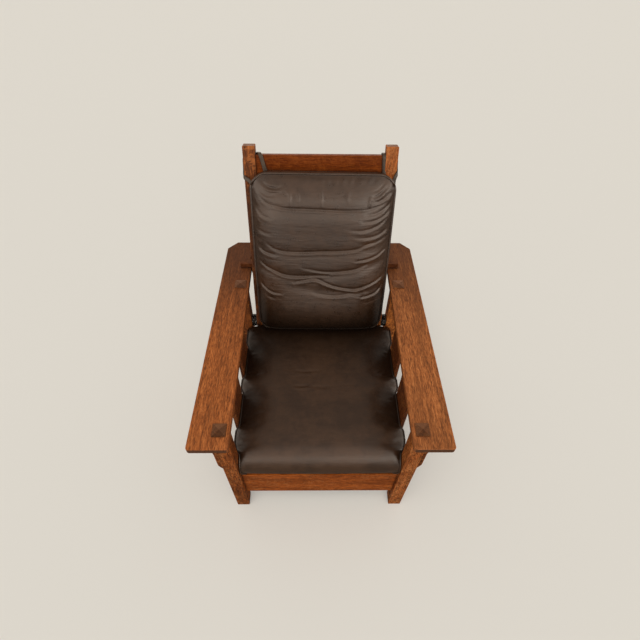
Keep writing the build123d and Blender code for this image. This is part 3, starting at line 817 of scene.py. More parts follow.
# The oak frame and its small parts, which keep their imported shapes


@dataclass
class OakFrame:
    """The boards of the chair, each with its own figure, and the hidden plain wood."""

    left_arm: OakFinish = OakFinish(
        dark=(0.15, 0.042, 0.0095), mid=(0.31, 0.085, 0.0185), light=(0.5, 0.155, 0.038), fleck=0.1,
        fleck_size=6 * MM, pores=0.7, patch=0.3, rear_shade=0.8,
    )
    right_arm: OakFinish = OakFinish(
        dark=(0.165, 0.052, 0.014), mid=(0.33, 0.1, 0.026), light=(0.53, 0.185, 0.052), fleck=0.12,
        fleck_size=6 * MM, pores=0.7, patch=0.5, rear_shade=0.62,
    )
    left_leg: OakFinish = OakFinish(
        dark=(0.045, 0.0125, 0.003), mid=(0.185, 0.047, 0.0088), light=(0.46, 0.127, 0.0255), fleck=0.45,
        shine=0.08,
    )
    right_leg: OakFinish = OakFinish(
        dark=(0.055, 0.015, 0.0035), mid=(0.26, 0.067, 0.0128), light=(0.62, 0.18, 0.041), fleck=0.95,
        fleck_size=5 * MM, shine=0.08,
    )
    rear_leg: OakFinish = OakFinish(
        mid=(0.24, 0.06, 0.011), light=(0.38, 0.105, 0.02), fleck_colour=(0.5, 0.155, 0.028), fleck=0.8,
        fleck_size=13 * MM,
    )
    right_rear_leg: OakFinish = OakFinish(
        dark=(0.14, 0.036, 0.007), mid=(0.4, 0.11, 0.02), light=(0.62, 0.19, 0.036),
        fleck_colour=(0.75, 0.25, 0.05), fleck=0.7, fleck_size=10 * MM,
    )
    # The left post's middle carries a painted shadow of the back cushion.
    left_post: OakFinish = OakFinish(
        dark=(0.06, 0.0175, 0.005), mid=(0.18, 0.05, 0.012), light=(0.42, 0.125, 0.029),
        fleck_colour=(0.6, 0.19, 0.045), fleck=0.4, fleck_size=34 * MM, patch=0.7, painted_shadow_band=(0.5, 0.9),
    )
    right_post: OakFinish = OakFinish(
        dark=(0.12, 0.031, 0.007), mid=(0.4, 0.105, 0.0215), light=(0.7, 0.21, 0.05), fleck=0.7,
        fleck_size=7 * MM,
    )
    seat_rails: OakFinish = OakFinish(
        dark=(0.1, 0.022, 0.0035), mid=(0.28, 0.065, 0.0095), light=(0.48, 0.12, 0.02), fleck=0.25,
        pores=0.45, shine=0.06,
    )
    top_rail: OakFinish = OakFinish(
        dark=(0.09, 0.0165, 0.0025), mid=(0.175, 0.035, 0.005), light=(0.26, 0.06, 0.0095),
        fleck_colour=(0.32, 0.08, 0.012), fleck=0.3, fleck_size=16 * MM, pores=0.3, gloss=0.42, shine=0.08,
    )
    slats: OakFinish = OakFinish(
        dark=(0.055, 0.014, 0.003), mid=(0.13, 0.032, 0.0063), light=(0.23, 0.062, 0.013), fleck=0.35,
        fleck_size=14 * MM,
    )
    bar: OakFinish = OakFinish(
        dark=(0.045, 0.013, 0.0038), mid=(0.09, 0.025, 0.0066), light=(0.14, 0.041, 0.011), fleck=0.1
    )
    hidden: OakFinish = OakFinish(
        dark=(0.16, 0.09, 0.045), mid=(0.28, 0.17, 0.09), light=(0.36, 0.235, 0.13), pore=(0.1, 0.055, 0.03),
        end_colour=(0.13, 0.08, 0.045), fleck=0.0, pores=0.35, gloss=0.7,
    )

    def boards(self) -> dict[str, tuple[OakFinish, Grain]]:
        """Gives each kind of board its finish and the run of its grain.

        Returns:
            The finish and the run by the start of the board's node name.
        """
        return {
            "arm_left": (self.left_arm, Grain.DEEP),
            "arm_right": (self.right_arm, Grain.DEEP),
            "front_leg_left": (self.left_leg, Grain.UP),
            "front_leg_right": (self.right_leg, Grain.UP),
            "rear_leg_left": (self.rear_leg, Grain.UP),
            "rear_leg_right": (self.right_rear_leg, Grain.UP),
            "corbel_": (self.left_leg, Grain.UP),
            "side_slat_": (self.slats, Grain.UP),
            "side_rail_": (self.seat_rails, Grain.DEEP),
            "front_seat_rail": (self.seat_rails, Grain.ACROSS),
            "rear_seat_rail": (self.seat_rails, Grain.ACROSS),
            "back_post_left": (self.left_post, Grain.LEANING),
            "back_post_right": (self.right_post, Grain.LEANING),
            "back_top_rail": (self.top_rail, Grain.ACROSS),
            "back_bottom_rail": (self.top_rail, Grain.ACROSS),
            "back_slat_": (self.slats, Grain.ACROSS),
            "stop_bar": (self.bar, Grain.ACROSS),
            "seat_cleat_front": (self.hidden, Grain.ACROSS),
            "seat_cleat_rear": (self.hidden, Grain.ACROSS),
            "seat_cleat_": (self.hidden, Grain.DEEP),
            "seat_frame_front": (self.hidden, Grain.ACROSS),
            "seat_frame_rear": (self.hidden, Grain.ACROSS),
            "seat_frame_": (self.hidden, Grain.DEEP),
        }

    def dress(self) -> None:
        """Gives every board its own oak."""
        boards = self.boards()
        for number, name in enumerate(sorted(FRAME["nodes"]), start=1):
            if board := first_match(name, boards):
                finish, grain = board
                set_material(FRAME["nodes"][name], finish.material(f"oak_{name}", grain, number))
                log.info("dressed %s as oak", name)


@dataclass
class Ironwork:
    """The pivot hardware, the screws and the webbing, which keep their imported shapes."""

    iron: IronFinish = IronFinish()
    screw: IronFinish = IronFinish(black=(0.25, 0.25, 0.245), bright=(0.6, 0.6, 0.58), bright_share=0.6)
    webbing: WebbingFinish = WebbingFinish()

    def dress(self) -> None:
        """Gives the hardware, the screws and the webbing their finishes."""
        finishes = {
            "pivot_": self.iron.material("black_iron"),
            "cleat_screws": self.screw.material("screw_steel"),
            "seat_webbing": self.webbing.material("jute_webbing"),
        }
        for name, node in FRAME["nodes"].items():
            if material := first_match(name, finishes):
                set_material(node, material)
                log.info("dressed %s", name)


def first_match(name: str, entries: dict[str, object]) -> object | None:
    """Gives the first entry whose key the name starts with, if there is one."""
    return next((entry for start, entry in entries.items() if name.startswith(start)), None)


def set_material(piece: Piece, material: bpy.types.Material) -> None:
    """Gives a piece one material in place of any it has."""
    piece.data.materials.clear()
    piece.data.materials.append(material)


# Soft parts


# A fold's depth as a share of its table's, how far off in fold widths it is worked out, and its roll
FOLD_DEPTH = 0.95
FOLD_REACH = 3.5
ROLL_OFFSET, ROLL_WIDTH, ROLL_SHARE = 2.0, 1.4, 0.7

# Two cushion shells swell a little in a cloth simulation
SEAM_WELD = 0.05 * MM
PUFF_CAP = 5 * MM
PUFF_FRAMES = 14
EVENING_ROUNDS = 400
CLOTH = {
    "quality": 5, "mass": 0.4, "tension_stiffness": 20, "compression_stiffness": 14, "shear_stiffness": 8,
    "bending_stiffness": 1.2, "use_pressure": True, "shrink_min": -0.012, "vertex_group_mass": "held",
}


@dataclass(frozen=True)
class Crease:
    """A fold in a cushion's panel, along a line of shares of the panel's half width and height.

    A positive depth presses a valley in; a negative one raises a ridge. The leather rolls up beside it on the
    lower side, by a share of the depth.
    """

    depth: float
    width: float
    roll: float
    line: tuple[tuple[float, float], ...]


def creases(*rows: tuple) -> tuple[Crease, ...]:
    """Makes creases from rows of depth and width in millimetres, share of roll and the line's points."""
    return tuple(Crease(depth * MM, width * MM, roll, tuple(line)) for depth, width, roll, *line in rows)


def crease_height(
    across: Array, up: Array, folds: tuple[Crease, ...], half_width: float, height: float
) -> Array:
    """Adds up the creases' heights over a panel.

    Each crease is a bell-shaped valley about its line, with a softer bell-shaped ridge beside it on its lower
    side, and it fades towards both ends as a half sine does.

    Args:
        across: places across the panel, in metres from its middle.
        up: places up the panel, in metres from its foot.
        folds: the creases.
        half_width: what a share of 1 across means.
        height: what a share of 1 up means.

    Returns:
        The height to add at each place, in metres.
    """
    total = np.zeros_like(across)
    for crease in folds:
        line = smooth_path(np.array(crease.line) * np.array([half_width, height]), 8)
        margin = FOLD_REACH * crease.width
        low, high = line.min(0) - margin, line.max(0) + margin
        near = np.flatnonzero((across > low[0]) & (across < high[0]) & (up > low[1]) & (up < high[1]))
        distance, side, share = from_line(across[near], up[near], line)
        fade = np.sin(math.pi * np.clip(share * 0.94 + 0.03, 0, 1)) ** 0.6
        valley = -bell(distance, crease.width)
        ridge = crease.roll * bell(side * distance + ROLL_OFFSET * crease.width, ROLL_WIDTH * crease.width)
        total[near] += FOLD_DEPTH * crease.depth * fade * (valley + ROLL_SHARE * ridge)
    return total


def from_line(x: Array, y: Array, line: Array) -> tuple[Array, Array, Array]:
    """Measures places against a line of short straight runs.

    Args:
        x: the places' first numbers.
        y: the places' second numbers.
        line: the line's points.

    Returns:
        Each place's distance from the line, the side it lies on, 1 above and -1 below, and how far along the
        line its nearest point is, from 0 to 1.
    """
    lengths = run_lengths(line)
    start, run = line[:-1], np.diff(line, axis=0)
    dx, dy = x[:, None] - start[:, 0], y[:, None] - start[:, 1]
    t = np.clip((dx * run[:, 0] + dy * run[:, 1]) / (run**2).sum(1), 0, 1)
    away_x, away_y = dx - t * run[:, 0], dy - t * run[:, 1]
    distances = np.hypot(away_x, away_y)
    nearest = distances.argmin(1)
    pick = (np.arange(len(x)), nearest)
    run_x, run_y = run[nearest].T
    above = np.sign(run_x * away_y[pick] - run_y * away_x[pick]) * np.sign(run_x)
    share = (lengths[nearest] + t[pick] * np.diff(lengths)[nearest]) / lengths[-1]
    return distances[pick], above, share


def pillow(edge_distance: Array, reach: float, flat: float, round_: float) -> Array:
    """Rises from 0 at a seam to 1 over a reach: 1 minus (1 - s) to one power, all to another.

    Args:
        edge_distance: how far inside the seam each place lies.
        reach: the distance from which on it is 1.
        flat: the inner power, which makes it flatter towards its top.
        round_: the outer power, which makes it steeper at the seam.

    Returns:
        The rise at each place.
    """
    s = np.clip(edge_distance / reach, 0, 1)
    return (1 - (1 - s) ** flat) ** round_


def bell(distance: Array, width: float) -> Array:
    """Falls from 1 at distance 0 as e to minus the square of the distance over the width."""
    return np.exp(-((distance / width) ** 2))


def spread_out(mesh: bpy.types.Mesh, moves: Array, rounds: int) -> Array:
    """Evens out moves: in each round a point keeps half its own and takes half its neighbours' mean.

    Args:
        mesh: the mesh whose edges say which points are neighbours.
        moves: each point's move.
        rounds: how often the moves are evened out.

    Returns:
        The evened moves.
    """
    ends = np.empty(len(mesh.edges) * 2, dtype=np.int64)
    mesh.edges.foreach_get("vertices", ends)
    one, other = ends.reshape(-1, 2).T
    count = len(moves)
    share = 0.5 / np.maximum(np.bincount(ends, minlength=count), 1)
    for _ in range(rounds):
        total = [
            np.bincount(one, moves[other, axis], count) + np.bincount(other, moves[one, axis], count)
            for axis in range(3)
        ]
        moves = 0.5 * moves + np.stack(total, axis=1) * share[:, None]
    return moves


def puff(piece: Piece, held: Array, pressure: float) -> None:
    """Blows a closed leather shell up a little by cloth simulation, its seams held, and keeps the result.

    The moves are capped along a hyperbolic tangent and evened out, so that the panels swell without dents.

    Args:
        piece: the shell, a mesh at the origin.
        held: how firmly each point is held, from 0, free, to 1, pinned.
        pressure: the inside pressure of the simulation.
    """
    rest = read_points(piece)
    group = piece.vertex_groups.new(name=CLOTH["vertex_group_mass"])
    for level in np.unique(np.round(held, 2)):
        if level > 0:
            group.add(np.flatnonzero(np.round(held, 2) == level).tolist(), float(level), "REPLACE")
    settings = piece.modifiers.new("puff", "CLOTH").settings
    for name, value in CLOTH.items():
        setattr(settings, name, value)
    settings.uniform_pressure_force = pressure
    settings.effector_weights.gravity = 0
    scene = bpy.context.scene
    for frame in range(1, PUFF_FRAMES + 1):
        scene.frame_set(frame)
    moves = read_points(piece.evaluated_get(bpy.context.evaluated_depsgraph_get())) - rest
    piece.modifiers.clear()
    scene.frame_set(1)
    length = np.linalg.norm(moves, axis=1, keepdims=True)
    soft = PUFF_CAP * np.tanh(length / PUFF_CAP) / np.maximum(length, TINY)
    swell = spread_out(piece.data, moves * soft, EVENING_ROUNDS) * (1 - held)[:, None]
    write_points(piece, rest + swell)


def subdivide(piece: Piece) -> None:
    """Adds a subdivision surface of one level, the same in the view and in the render."""
    modifier = piece.modifiers.new("fair", "SUBSURF")
    modifier.levels = modifier.render_levels = 1


def refine(piece: Piece) -> None:
    """Divides a mesh once as a subdivision surface does and keeps the result, smooth-shaded.

    Args:
        piece: the piece whose mesh is replaced.
    """
    subdivide(piece)
    graph = bpy.context.evaluated_depsgraph_get()
    finer = bpy.data.meshes.new_from_object(piece.evaluated_get(graph))
    piece.modifiers.clear()
    coarse = piece.data
    piece.data = finer
    bpy.data.meshes.remove(coarse)
    finer.polygons.foreach_set("use_smooth", np.ones(len(finer.polygons), bool))


def displace(piece: Piece, heights: Array, direction: Array) -> None:
    """Moves each point of a mesh along one direction by its own height."""
    write_points(piece, read_points(piece) + heights[:, None] * direction)


def finish_soft(piece: Piece, leather: bpy.types.Material, body: str) -> None:
    """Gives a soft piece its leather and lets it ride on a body.

    Args:
        piece: the piece.
        leather: its material.
        body: the body that it moves with.
    """
    set_material(piece, leather)
    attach(piece, body)


@dataclass
class PanelGrid:
    """A rectangular grid whose rim is a rounded rectangle, as a cushion's panel is seen from the front.

    Square rings shrink towards the middle, and each ring's corners are less rounded than the rim's.
    """

    half_x: float
    half_y: float
    corner: float
    columns: int
    rows: int

    def places(self) -> Array:
        """Gives the grid's places, rows by columns, two numbers each.

        A ring at level r is a rounded rectangle r times as large. A point at share s of a ring's side lies at
        s times half the side's length, measured along its straight and then along its eighth of a circle.

        Returns:
            The places.
        """
        v, u = np.meshgrid(np.linspace(-1, 1, self.rows), np.linspace(-1, 1, self.columns), indexing="ij")
        level = np.maximum(np.abs(u), np.abs(v))
        radius = self.corner * level**2
        on_x = np.abs(u) >= np.abs(v)
        safe = np.maximum(level, TINY)
        x_side = self._side(self.half_x * level, self.half_y * level, radius, np.sign(u), v / safe)
        y_side = self._side(self.half_y * level, self.half_x * level, radius, np.sign(v), u / safe)
        x = np.where(on_x, x_side[0], y_side[1])
        y = np.where(on_x, x_side[1], y_side[0])
        return np.stack([x, y], axis=-1)

    @staticmethod
    def _side(reach: Array, span: Array, radius: Array, sign: Array, share: Array) -> tuple[Array, Array]:
        """Works out one side of the rings: a straight that goes over into an eighth of a circle.

        Args:
            reach: how far out from the middle each ring's side lies.
            span: half the length of the side without its rounding.
            radius: the ring's corner radius.
            sign: which of the two opposite sides it is.
            share: how far along its half of the side each place lies, from -1 to 1.

        Returns:
            Each place's distance out from the middle and along the side.
        """
        straight = span - radius
        length = straight + radius * math.pi / 4
        run = np.abs(share) * length
        angle = np.where(run > straight, (run - straight) / np.maximum(radius, TINY), 0)
        out = reach - radius + radius * np.cos(angle)
        along = np.where(run > straight, straight + radius * np.sin(angle), run)
        return sign * out, np.sign(share) * along

    def rim(self) -> Array:
        """Gives the numbers of the grid's rim points, in order round it."""
        index = np.arange(self.rows * self.columns).reshape(self.rows, self.columns)
        return np.concatenate([index[0, :-1], index[:-1, -1], index[-1, :0:-1], index[:0:-1, 0]])


@dataclass
class BackCushion:
    """The back cushion: a crowned front panel, a drawn-in boxing, a flat rear panel and two piped seams."""

    axes: LeaningAxes
    leather: bpy.types.Material
    boxing: float = 46 * MM
    boxing_swell: float = 3.2 * MM
    draw_in: float = 7 * MM
    rear_gap: float = 0.4 * MM
    crown: float = 46 * MM
    head_reach: float = 135 * MM
    foot_reach: float = 150 * MM
    side_reach: float = 110 * MM
    corner: float = 50 * MM
    side_inset: float = 2 * MM
    side_bulge: float = 1.5 * MM
    foot_taper: float = 3 * MM
    foot_lift: float = 23 * MM
    foot_corner: float = 11 * MM
    head_drop: float = 9 * MM
    head_tilt: float = 2 * MM
    shift: float = 5.5 * MM
    shift_skew: float = 2.5 * MM
    lip: float = 4 * MM
    tuck: float = 0.4 * MM
    tuck_inset: float = 14 * MM
    tuck_spread: float = 10 * MM
    piping_radius: float = 3.6 * MM
    columns: int = 81
    rows: int = 105
    boxing_rows: int = 9
    folds: tuple[Crease, ...] = creases(
        (3.5, 24, 0.0, (-1.1, 0.84), (0.0, 0.825), (1.1, 0.84)),
        (1.8, 20, 0.0, (-1.1, 0.62), (0.0, 0.59), (1.1, 0.63)),
        (3, 17, 0.0, (-1.1, 0.51), (-0.3, 0.445), (0.3, 0.465), (1.1, 0.56)),
        (2.6, 17, 0.0, (-0.5, 0.385), (0.1, 0.345), (1.0, 0.36)),
        (2.0, 3.6, 0.45, (-0.88, 0.9), (-0.8, 0.868), (-0.65, 0.852), (-0.5, 0.842), (-0.2, 0.838),
         (0.13, 0.832), (0.4, 0.83), (0.67, 0.838), (0.9, 0.87)),
        (2.3, 4.2, 0.7, (-0.8, 0.64), (-0.7, 0.615), (-0.55, 0.6), (-0.3, 0.594), (0.0, 0.598),
         (0.24, 0.6), (0.49, 0.612), (0.74, 0.655)),
        (2.2, 4.5, 0.8, (-0.93, 0.615), (-0.84, 0.59), (-0.7, 0.577)),
        (2.4, 4.0, 1.0, (-0.95, 0.54), (-0.84, 0.505), (-0.72, 0.482), (-0.56, 0.456), (-0.33, 0.446),
         (0.12, 0.452)),
        (2.2, 4.4, 0.8, (-0.28, 0.497), (0.05, 0.474), (0.3, 0.476), (0.5, 0.49), (0.68, 0.525)),
        (2.1, 4.0, 0.8, (0.5, 0.54), (0.7, 0.555), (0.83, 0.575), (0.95, 0.61)),
        (2.6, 4.4, 1.2, (-0.42, 0.408), (-0.25, 0.422), (-0.09, 0.43), (0.06, 0.404), (0.2, 0.382),
         (0.36, 0.37), (0.52, 0.365), (0.7, 0.386), (0.86, 0.415), (0.97, 0.45)),
        (1.5, 5, 0.7, (-0.1, 0.335), (0.1, 0.322), (0.3, 0.322), (0.5, 0.34)),
        (2.2, 3.8, 0.9, (-0.95, 0.4), (-0.87, 0.365), (-0.76, 0.34), (-0.62, 0.335)),
        (1.2, 5, 0.7, (-0.9, 0.33), (-0.8, 0.305), (-0.7, 0.298)),
        (2.2, 4.2, 0.9, (0.62, 0.31), (0.75, 0.318), (0.86, 0.335), (0.97, 0.385)),
        (1.2, 5, 0.6, (0.7, 0.27), (0.85, 0.285), (0.97, 0.32)),
        (3.8, 3.4, 0.9, (0.7, 0.898), (0.78, 0.91), (0.88, 0.945)),
        (2.2, 3.4, 0.8, (0.7, 0.925), (0.78, 0.938), (0.86, 0.968)),
        (1.6, 3.8, 0.7, (0.74, 0.87), (0.84, 0.884), (0.95, 0.918)),
        (1.5, 4.2, 0.7, (0.62, 0.806), (0.72, 0.81), (0.84, 0.828), (0.96, 0.87)),
        (1.3, 4.2, 0.7, (0.56, 0.77), (0.72, 0.774), (0.86, 0.795), (0.97, 0.835)),
        (1.5, 4.4, 0.7, (0.4, 0.722), (0.58, 0.722), (0.78, 0.745), (0.95, 0.795)),
        (1.4, 4.4, 0.7, (0.5, 0.68), (0.68, 0.682), (0.84, 0.7), (0.97, 0.745)),
        (1.1, 4.6, 0.7, (0.55, 0.64), (0.75, 0.648), (0.96, 0.69)),
        (4.8, 3.4, 1.0, (-0.83, 0.962), (-0.76, 0.946), (-0.66, 0.94), (-0.56, 0.948)),
        (1.5, 4, 0.8, (-0.87, 0.925), (-0.78, 0.905), (-0.66, 0.905)),
        (1.1, 5, 0.7, (-0.95, 0.83), (-0.86, 0.8), (-0.74, 0.785)),
        (0.9, 5, 0.7, (-0.95, 0.73), (-0.86, 0.705), (-0.74, 0.695)),
        (-1.6, 3.8, 0.0, (-0.03, 0.93), (-0.02, 0.9), (-0.03, 0.85)),
        (-1.8, 4.2, 0.0, (-0.52, 0.935), (-0.46, 0.91), (-0.47, 0.86)),
        (-1.0, 4, 0.0, (-0.36, 0.93), (-0.34, 0.9), (-0.35, 0.87)),
        (-0.8, 6, 0.0, (0.36, 0.93), (0.34, 0.9), (0.35, 0.87)),
        (-2.2, 4.2, 0.0, (0.66, 0.9), (0.65, 0.87), (0.64, 0.845)),
    )

    def __post_init__(self) -> None:
        """Reads the cushion's place from its CAD solid."""
        low, high = self.axes.measure("back_cushion")
        self.half_x = (high[0] - low[0]) / 2 - self.side_inset
        head = high[2] - self.head_drop
        self.half_z = (head - low[2]) / 2
        self.middle = (low[2] + head) / 2
        self.rear = high[1]
        self.seam_height = self.draw_in + self.boxing
        self.panel = PanelGrid(self.half_x, self.half_z, self.corner, self.columns, self.rows)

    def _shape(self, flat: Array, front: bool) -> Array:
        """Turns the panel's plain rounded rectangle into the cushion's outline.

        The sides swell in the middle and taper to the foot, the foot's corners are pulled further in, the
        head is a little higher on the left, and the whole stands a little to the right. The front panel's
        foot lies higher than the rear's.

        Args:
            flat: the panel's places, two numbers each.
            front: whether it is the front panel.

        Returns:
            The changed places.
        """
        x, z = flat[..., 0] / self.half_x, flat[..., 1] / self.half_z
        low = np.clip(-z, 0, 1)
        side = np.abs(x) ** 3 * (self.side_bulge * (1 - z**2) - self.foot_taper * low)
        side = side - self.foot_corner * np.abs(x) ** 5 * low**9
        rise = self.foot_corner * low**9 * np.abs(x) ** 5 + self.head_tilt * np.clip(z, 0, 1) ** 3 * -x
        if front:
            rise = rise + self.foot_lift * low**4
        shift = self.shift + self.shift_skew * z
        return np.stack([flat[..., 0] + np.sign(x) * side + shift, flat[..., 1] + rise], axis=-1)

    def _local(self, flat: Array, height: Array) -> Array:
        """Puts places of a panel, at heights over the cushion's rear plane, on the leaning axes."""
        return np.stack([flat[..., 0], self.rear - height, flat[..., 1] + self.middle], axis=-1)

    def _front_height(self, flat: Array) -> Array:
        """Gives the front panel's crown: the product of its rises from the sides, the head and the foot.

        Each rise is 1 minus (1 - s) to a power of about 2, all to a power of about a half, which is nearly a
        quarter of an ellipse. The crown is a tenth lower towards the head and a little lower at the sides.

        Args:
            flat: the panel's places, two numbers each.

        Returns:
            The height of each place over the rear plane.
        """
        rise_x = pillow(self.half_x - self.lip - np.abs(flat[..., 0]), self.side_reach, 2.2, 0.5)
        rise_head = pillow(self.half_z - self.lip - flat[..., 1], self.head_reach, 2.2, 0.55)
        rise_foot = pillow(self.half_z - self.lip + flat[..., 1], self.foot_reach, 2.0, 0.5)
        fuller = 1 - 0.1 * smoothstep(-0.5 * self.half_z, 0.9 * self.half_z, flat[..., 1])
        arch = 0.93 + 0.07 * (1 - (flat[..., 0] / self.half_x) ** 2)
        return self.seam_height + self.crown * rise_x * rise_head * rise_foot * fuller * arch

    def build(self) -> list[Piece]:
        """Makes the shell and its piping.

        Returns:
            The shell, the front piping and the rear piping.
        """
        plain = self.panel.places()
        rim = self.panel.rim()
        count = self.rows * self.columns
        inset = 1 - self.draw_in / self.half_x
        front_flat, rear_flat = self._shape(plain, True), self._shape(plain, False) * inset
        front = self._local(front_flat, self._front_height(plain)).reshape(-1, 3)
        rear = self._local(rear_flat, np.full(plain.shape[:-1], self.rear_gap)).reshape(-1, 3)
        boxing = self._boxing(front_flat.reshape(-1, 2)[rim], rear_flat.reshape(-1, 2)[rim])
        points = np.concatenate([front, rear, boxing.reshape(-1, 3)])
        rings = np.concatenate([
            (rim + count)[None],
            2 * count + np.arange(self.boxing_rows * len(rim)).reshape(self.boxing_rows, len(rim)),
            rim[None],
        ])
        panel_quads = grid_faces(self.rows, self.columns)
        ring_quads = rings.reshape(-1)[grid_faces(len(rings), len(rim), closed=True)]
        quads = np.concatenate([panel_quads[:, ::-1], panel_quads + count, ring_quads])
        shell = make_mesh("back_cushion_cover", self.axes.place(points), quads.tolist())
        held = np.zeros(len(points))
        held[count : 2 * count] = 1
        held[rim] = 1
        puff(shell, held, pressure=1.5)
        seam_points = read_points(shell)
        refine(shell)
        self._fold(shell)
        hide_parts("back_cushion")
        pieces = [
            shell,
            piping("back_cushion_piping_front", seam_points[rim], self.piping_radius),
            piping("back_cushion_piping_rear", seam_points[rim + count], self.piping_radius),
        ]
        for piece in pieces:
            finish_soft(piece, self.leather, "back")
        return pieces

    def _boxing(self, front_rim: Array, rear_rim: Array) -> Array:
        """Makes the rings between the two seams, which swell outwards half-way by a half sine.

        Args:
            front_rim: the front seam's places, two numbers each.
            rear_rim: the rear seam's places, two numbers each.

        Returns:
            The rings' places on the leaning axes, from the rear to the front.
        """
        along = np.roll(front_rim, -1, axis=0) - np.roll(front_rim, 1, axis=0)
        out = unit(np.stack([along[:, 1], -along[:, 0]], axis=1))
        out *= np.sign((out * (front_rim - front_rim.mean(0))).sum())
        share = np.linspace(0, 1, self.boxing_rows + 2)[1:-1, None]
        blend = smoothstep(-0.1, 0.75, share)[..., None]
        swell = self.boxing_swell * np.sin(math.pi * share[..., None]) ** 0.8
        flat = rear_rim[None] * (1 - blend) + front_rim[None] * blend + out[None] * swell
        return self._local(flat, np.broadcast_to(share * self.seam_height, flat.shape[:-1]))

    def _fold(self, shell: Piece) -> None:
        """Presses the creases and small tucks beside the seam into the front panel.

        Args:
            shell: the cushion's cover.
        """
        across, depth, up = self.axes.local(read_points(shell)).T
        z = up - self.middle
        x = across - self.shift - self.shift_skew * z / self.half_z
        inside = smoothstep(1 * MM, 12 * MM, self.rear - depth - self.seam_height)
        heights = crease_height(x, z + self.half_z, self.folds, self.half_x, 2 * self.half_z)
        heights += self._tucks(x, z)
        displace(shell, heights * inside, self.axes.turn @ np.array([0.0, -1.0, 0.0]))

    def _tucks(self, x: Array, z: Array) -> Array:
        """Gives small uneven tucks that run in from the seam: sine waves round the panel, fading inwards.

        Args:
            x: places across the panel, from its middle.
            z: places up the panel, from its middle.

        Returns:
            The height to add at each place.
        """
        rng = np.random.default_rng(SEED)
        edge = np.minimum(self.half_x - np.abs(x), self.half_z - np.abs(z))
        turn = np.arctan2(z / self.half_z, x / self.half_x)
        waves = np.zeros_like(x)
        for count in (23, 37, 61, 88):
            fullness = 0.4 + 0.6 * np.sin(3 * turn + count)
            waves += np.sin(count * turn + rng.uniform(0, 2 * math.pi)) * fullness
        return self.tuck * waves * bell(edge - self.tuck_inset, self.tuck_spread)


def piping(name: str, seam: Array, radius: float) -> Piece:
    """Lays a round piping along a closed flat seam.

    Args:
        name: the piece's name.
        seam: the seam's places, in order round it.
        radius: the piping's radius.

    Returns:
        The piping, just outside the seam.
    """
    path = smooth_path(seam, 2, closed=True)
    out = square_off(smooth_path(seam - seam.mean(0), 2, closed=True), tangents(path, closed=True))
    return carry(name, path + out * radius * 0.45, out, round_outline(radius), closed=True)


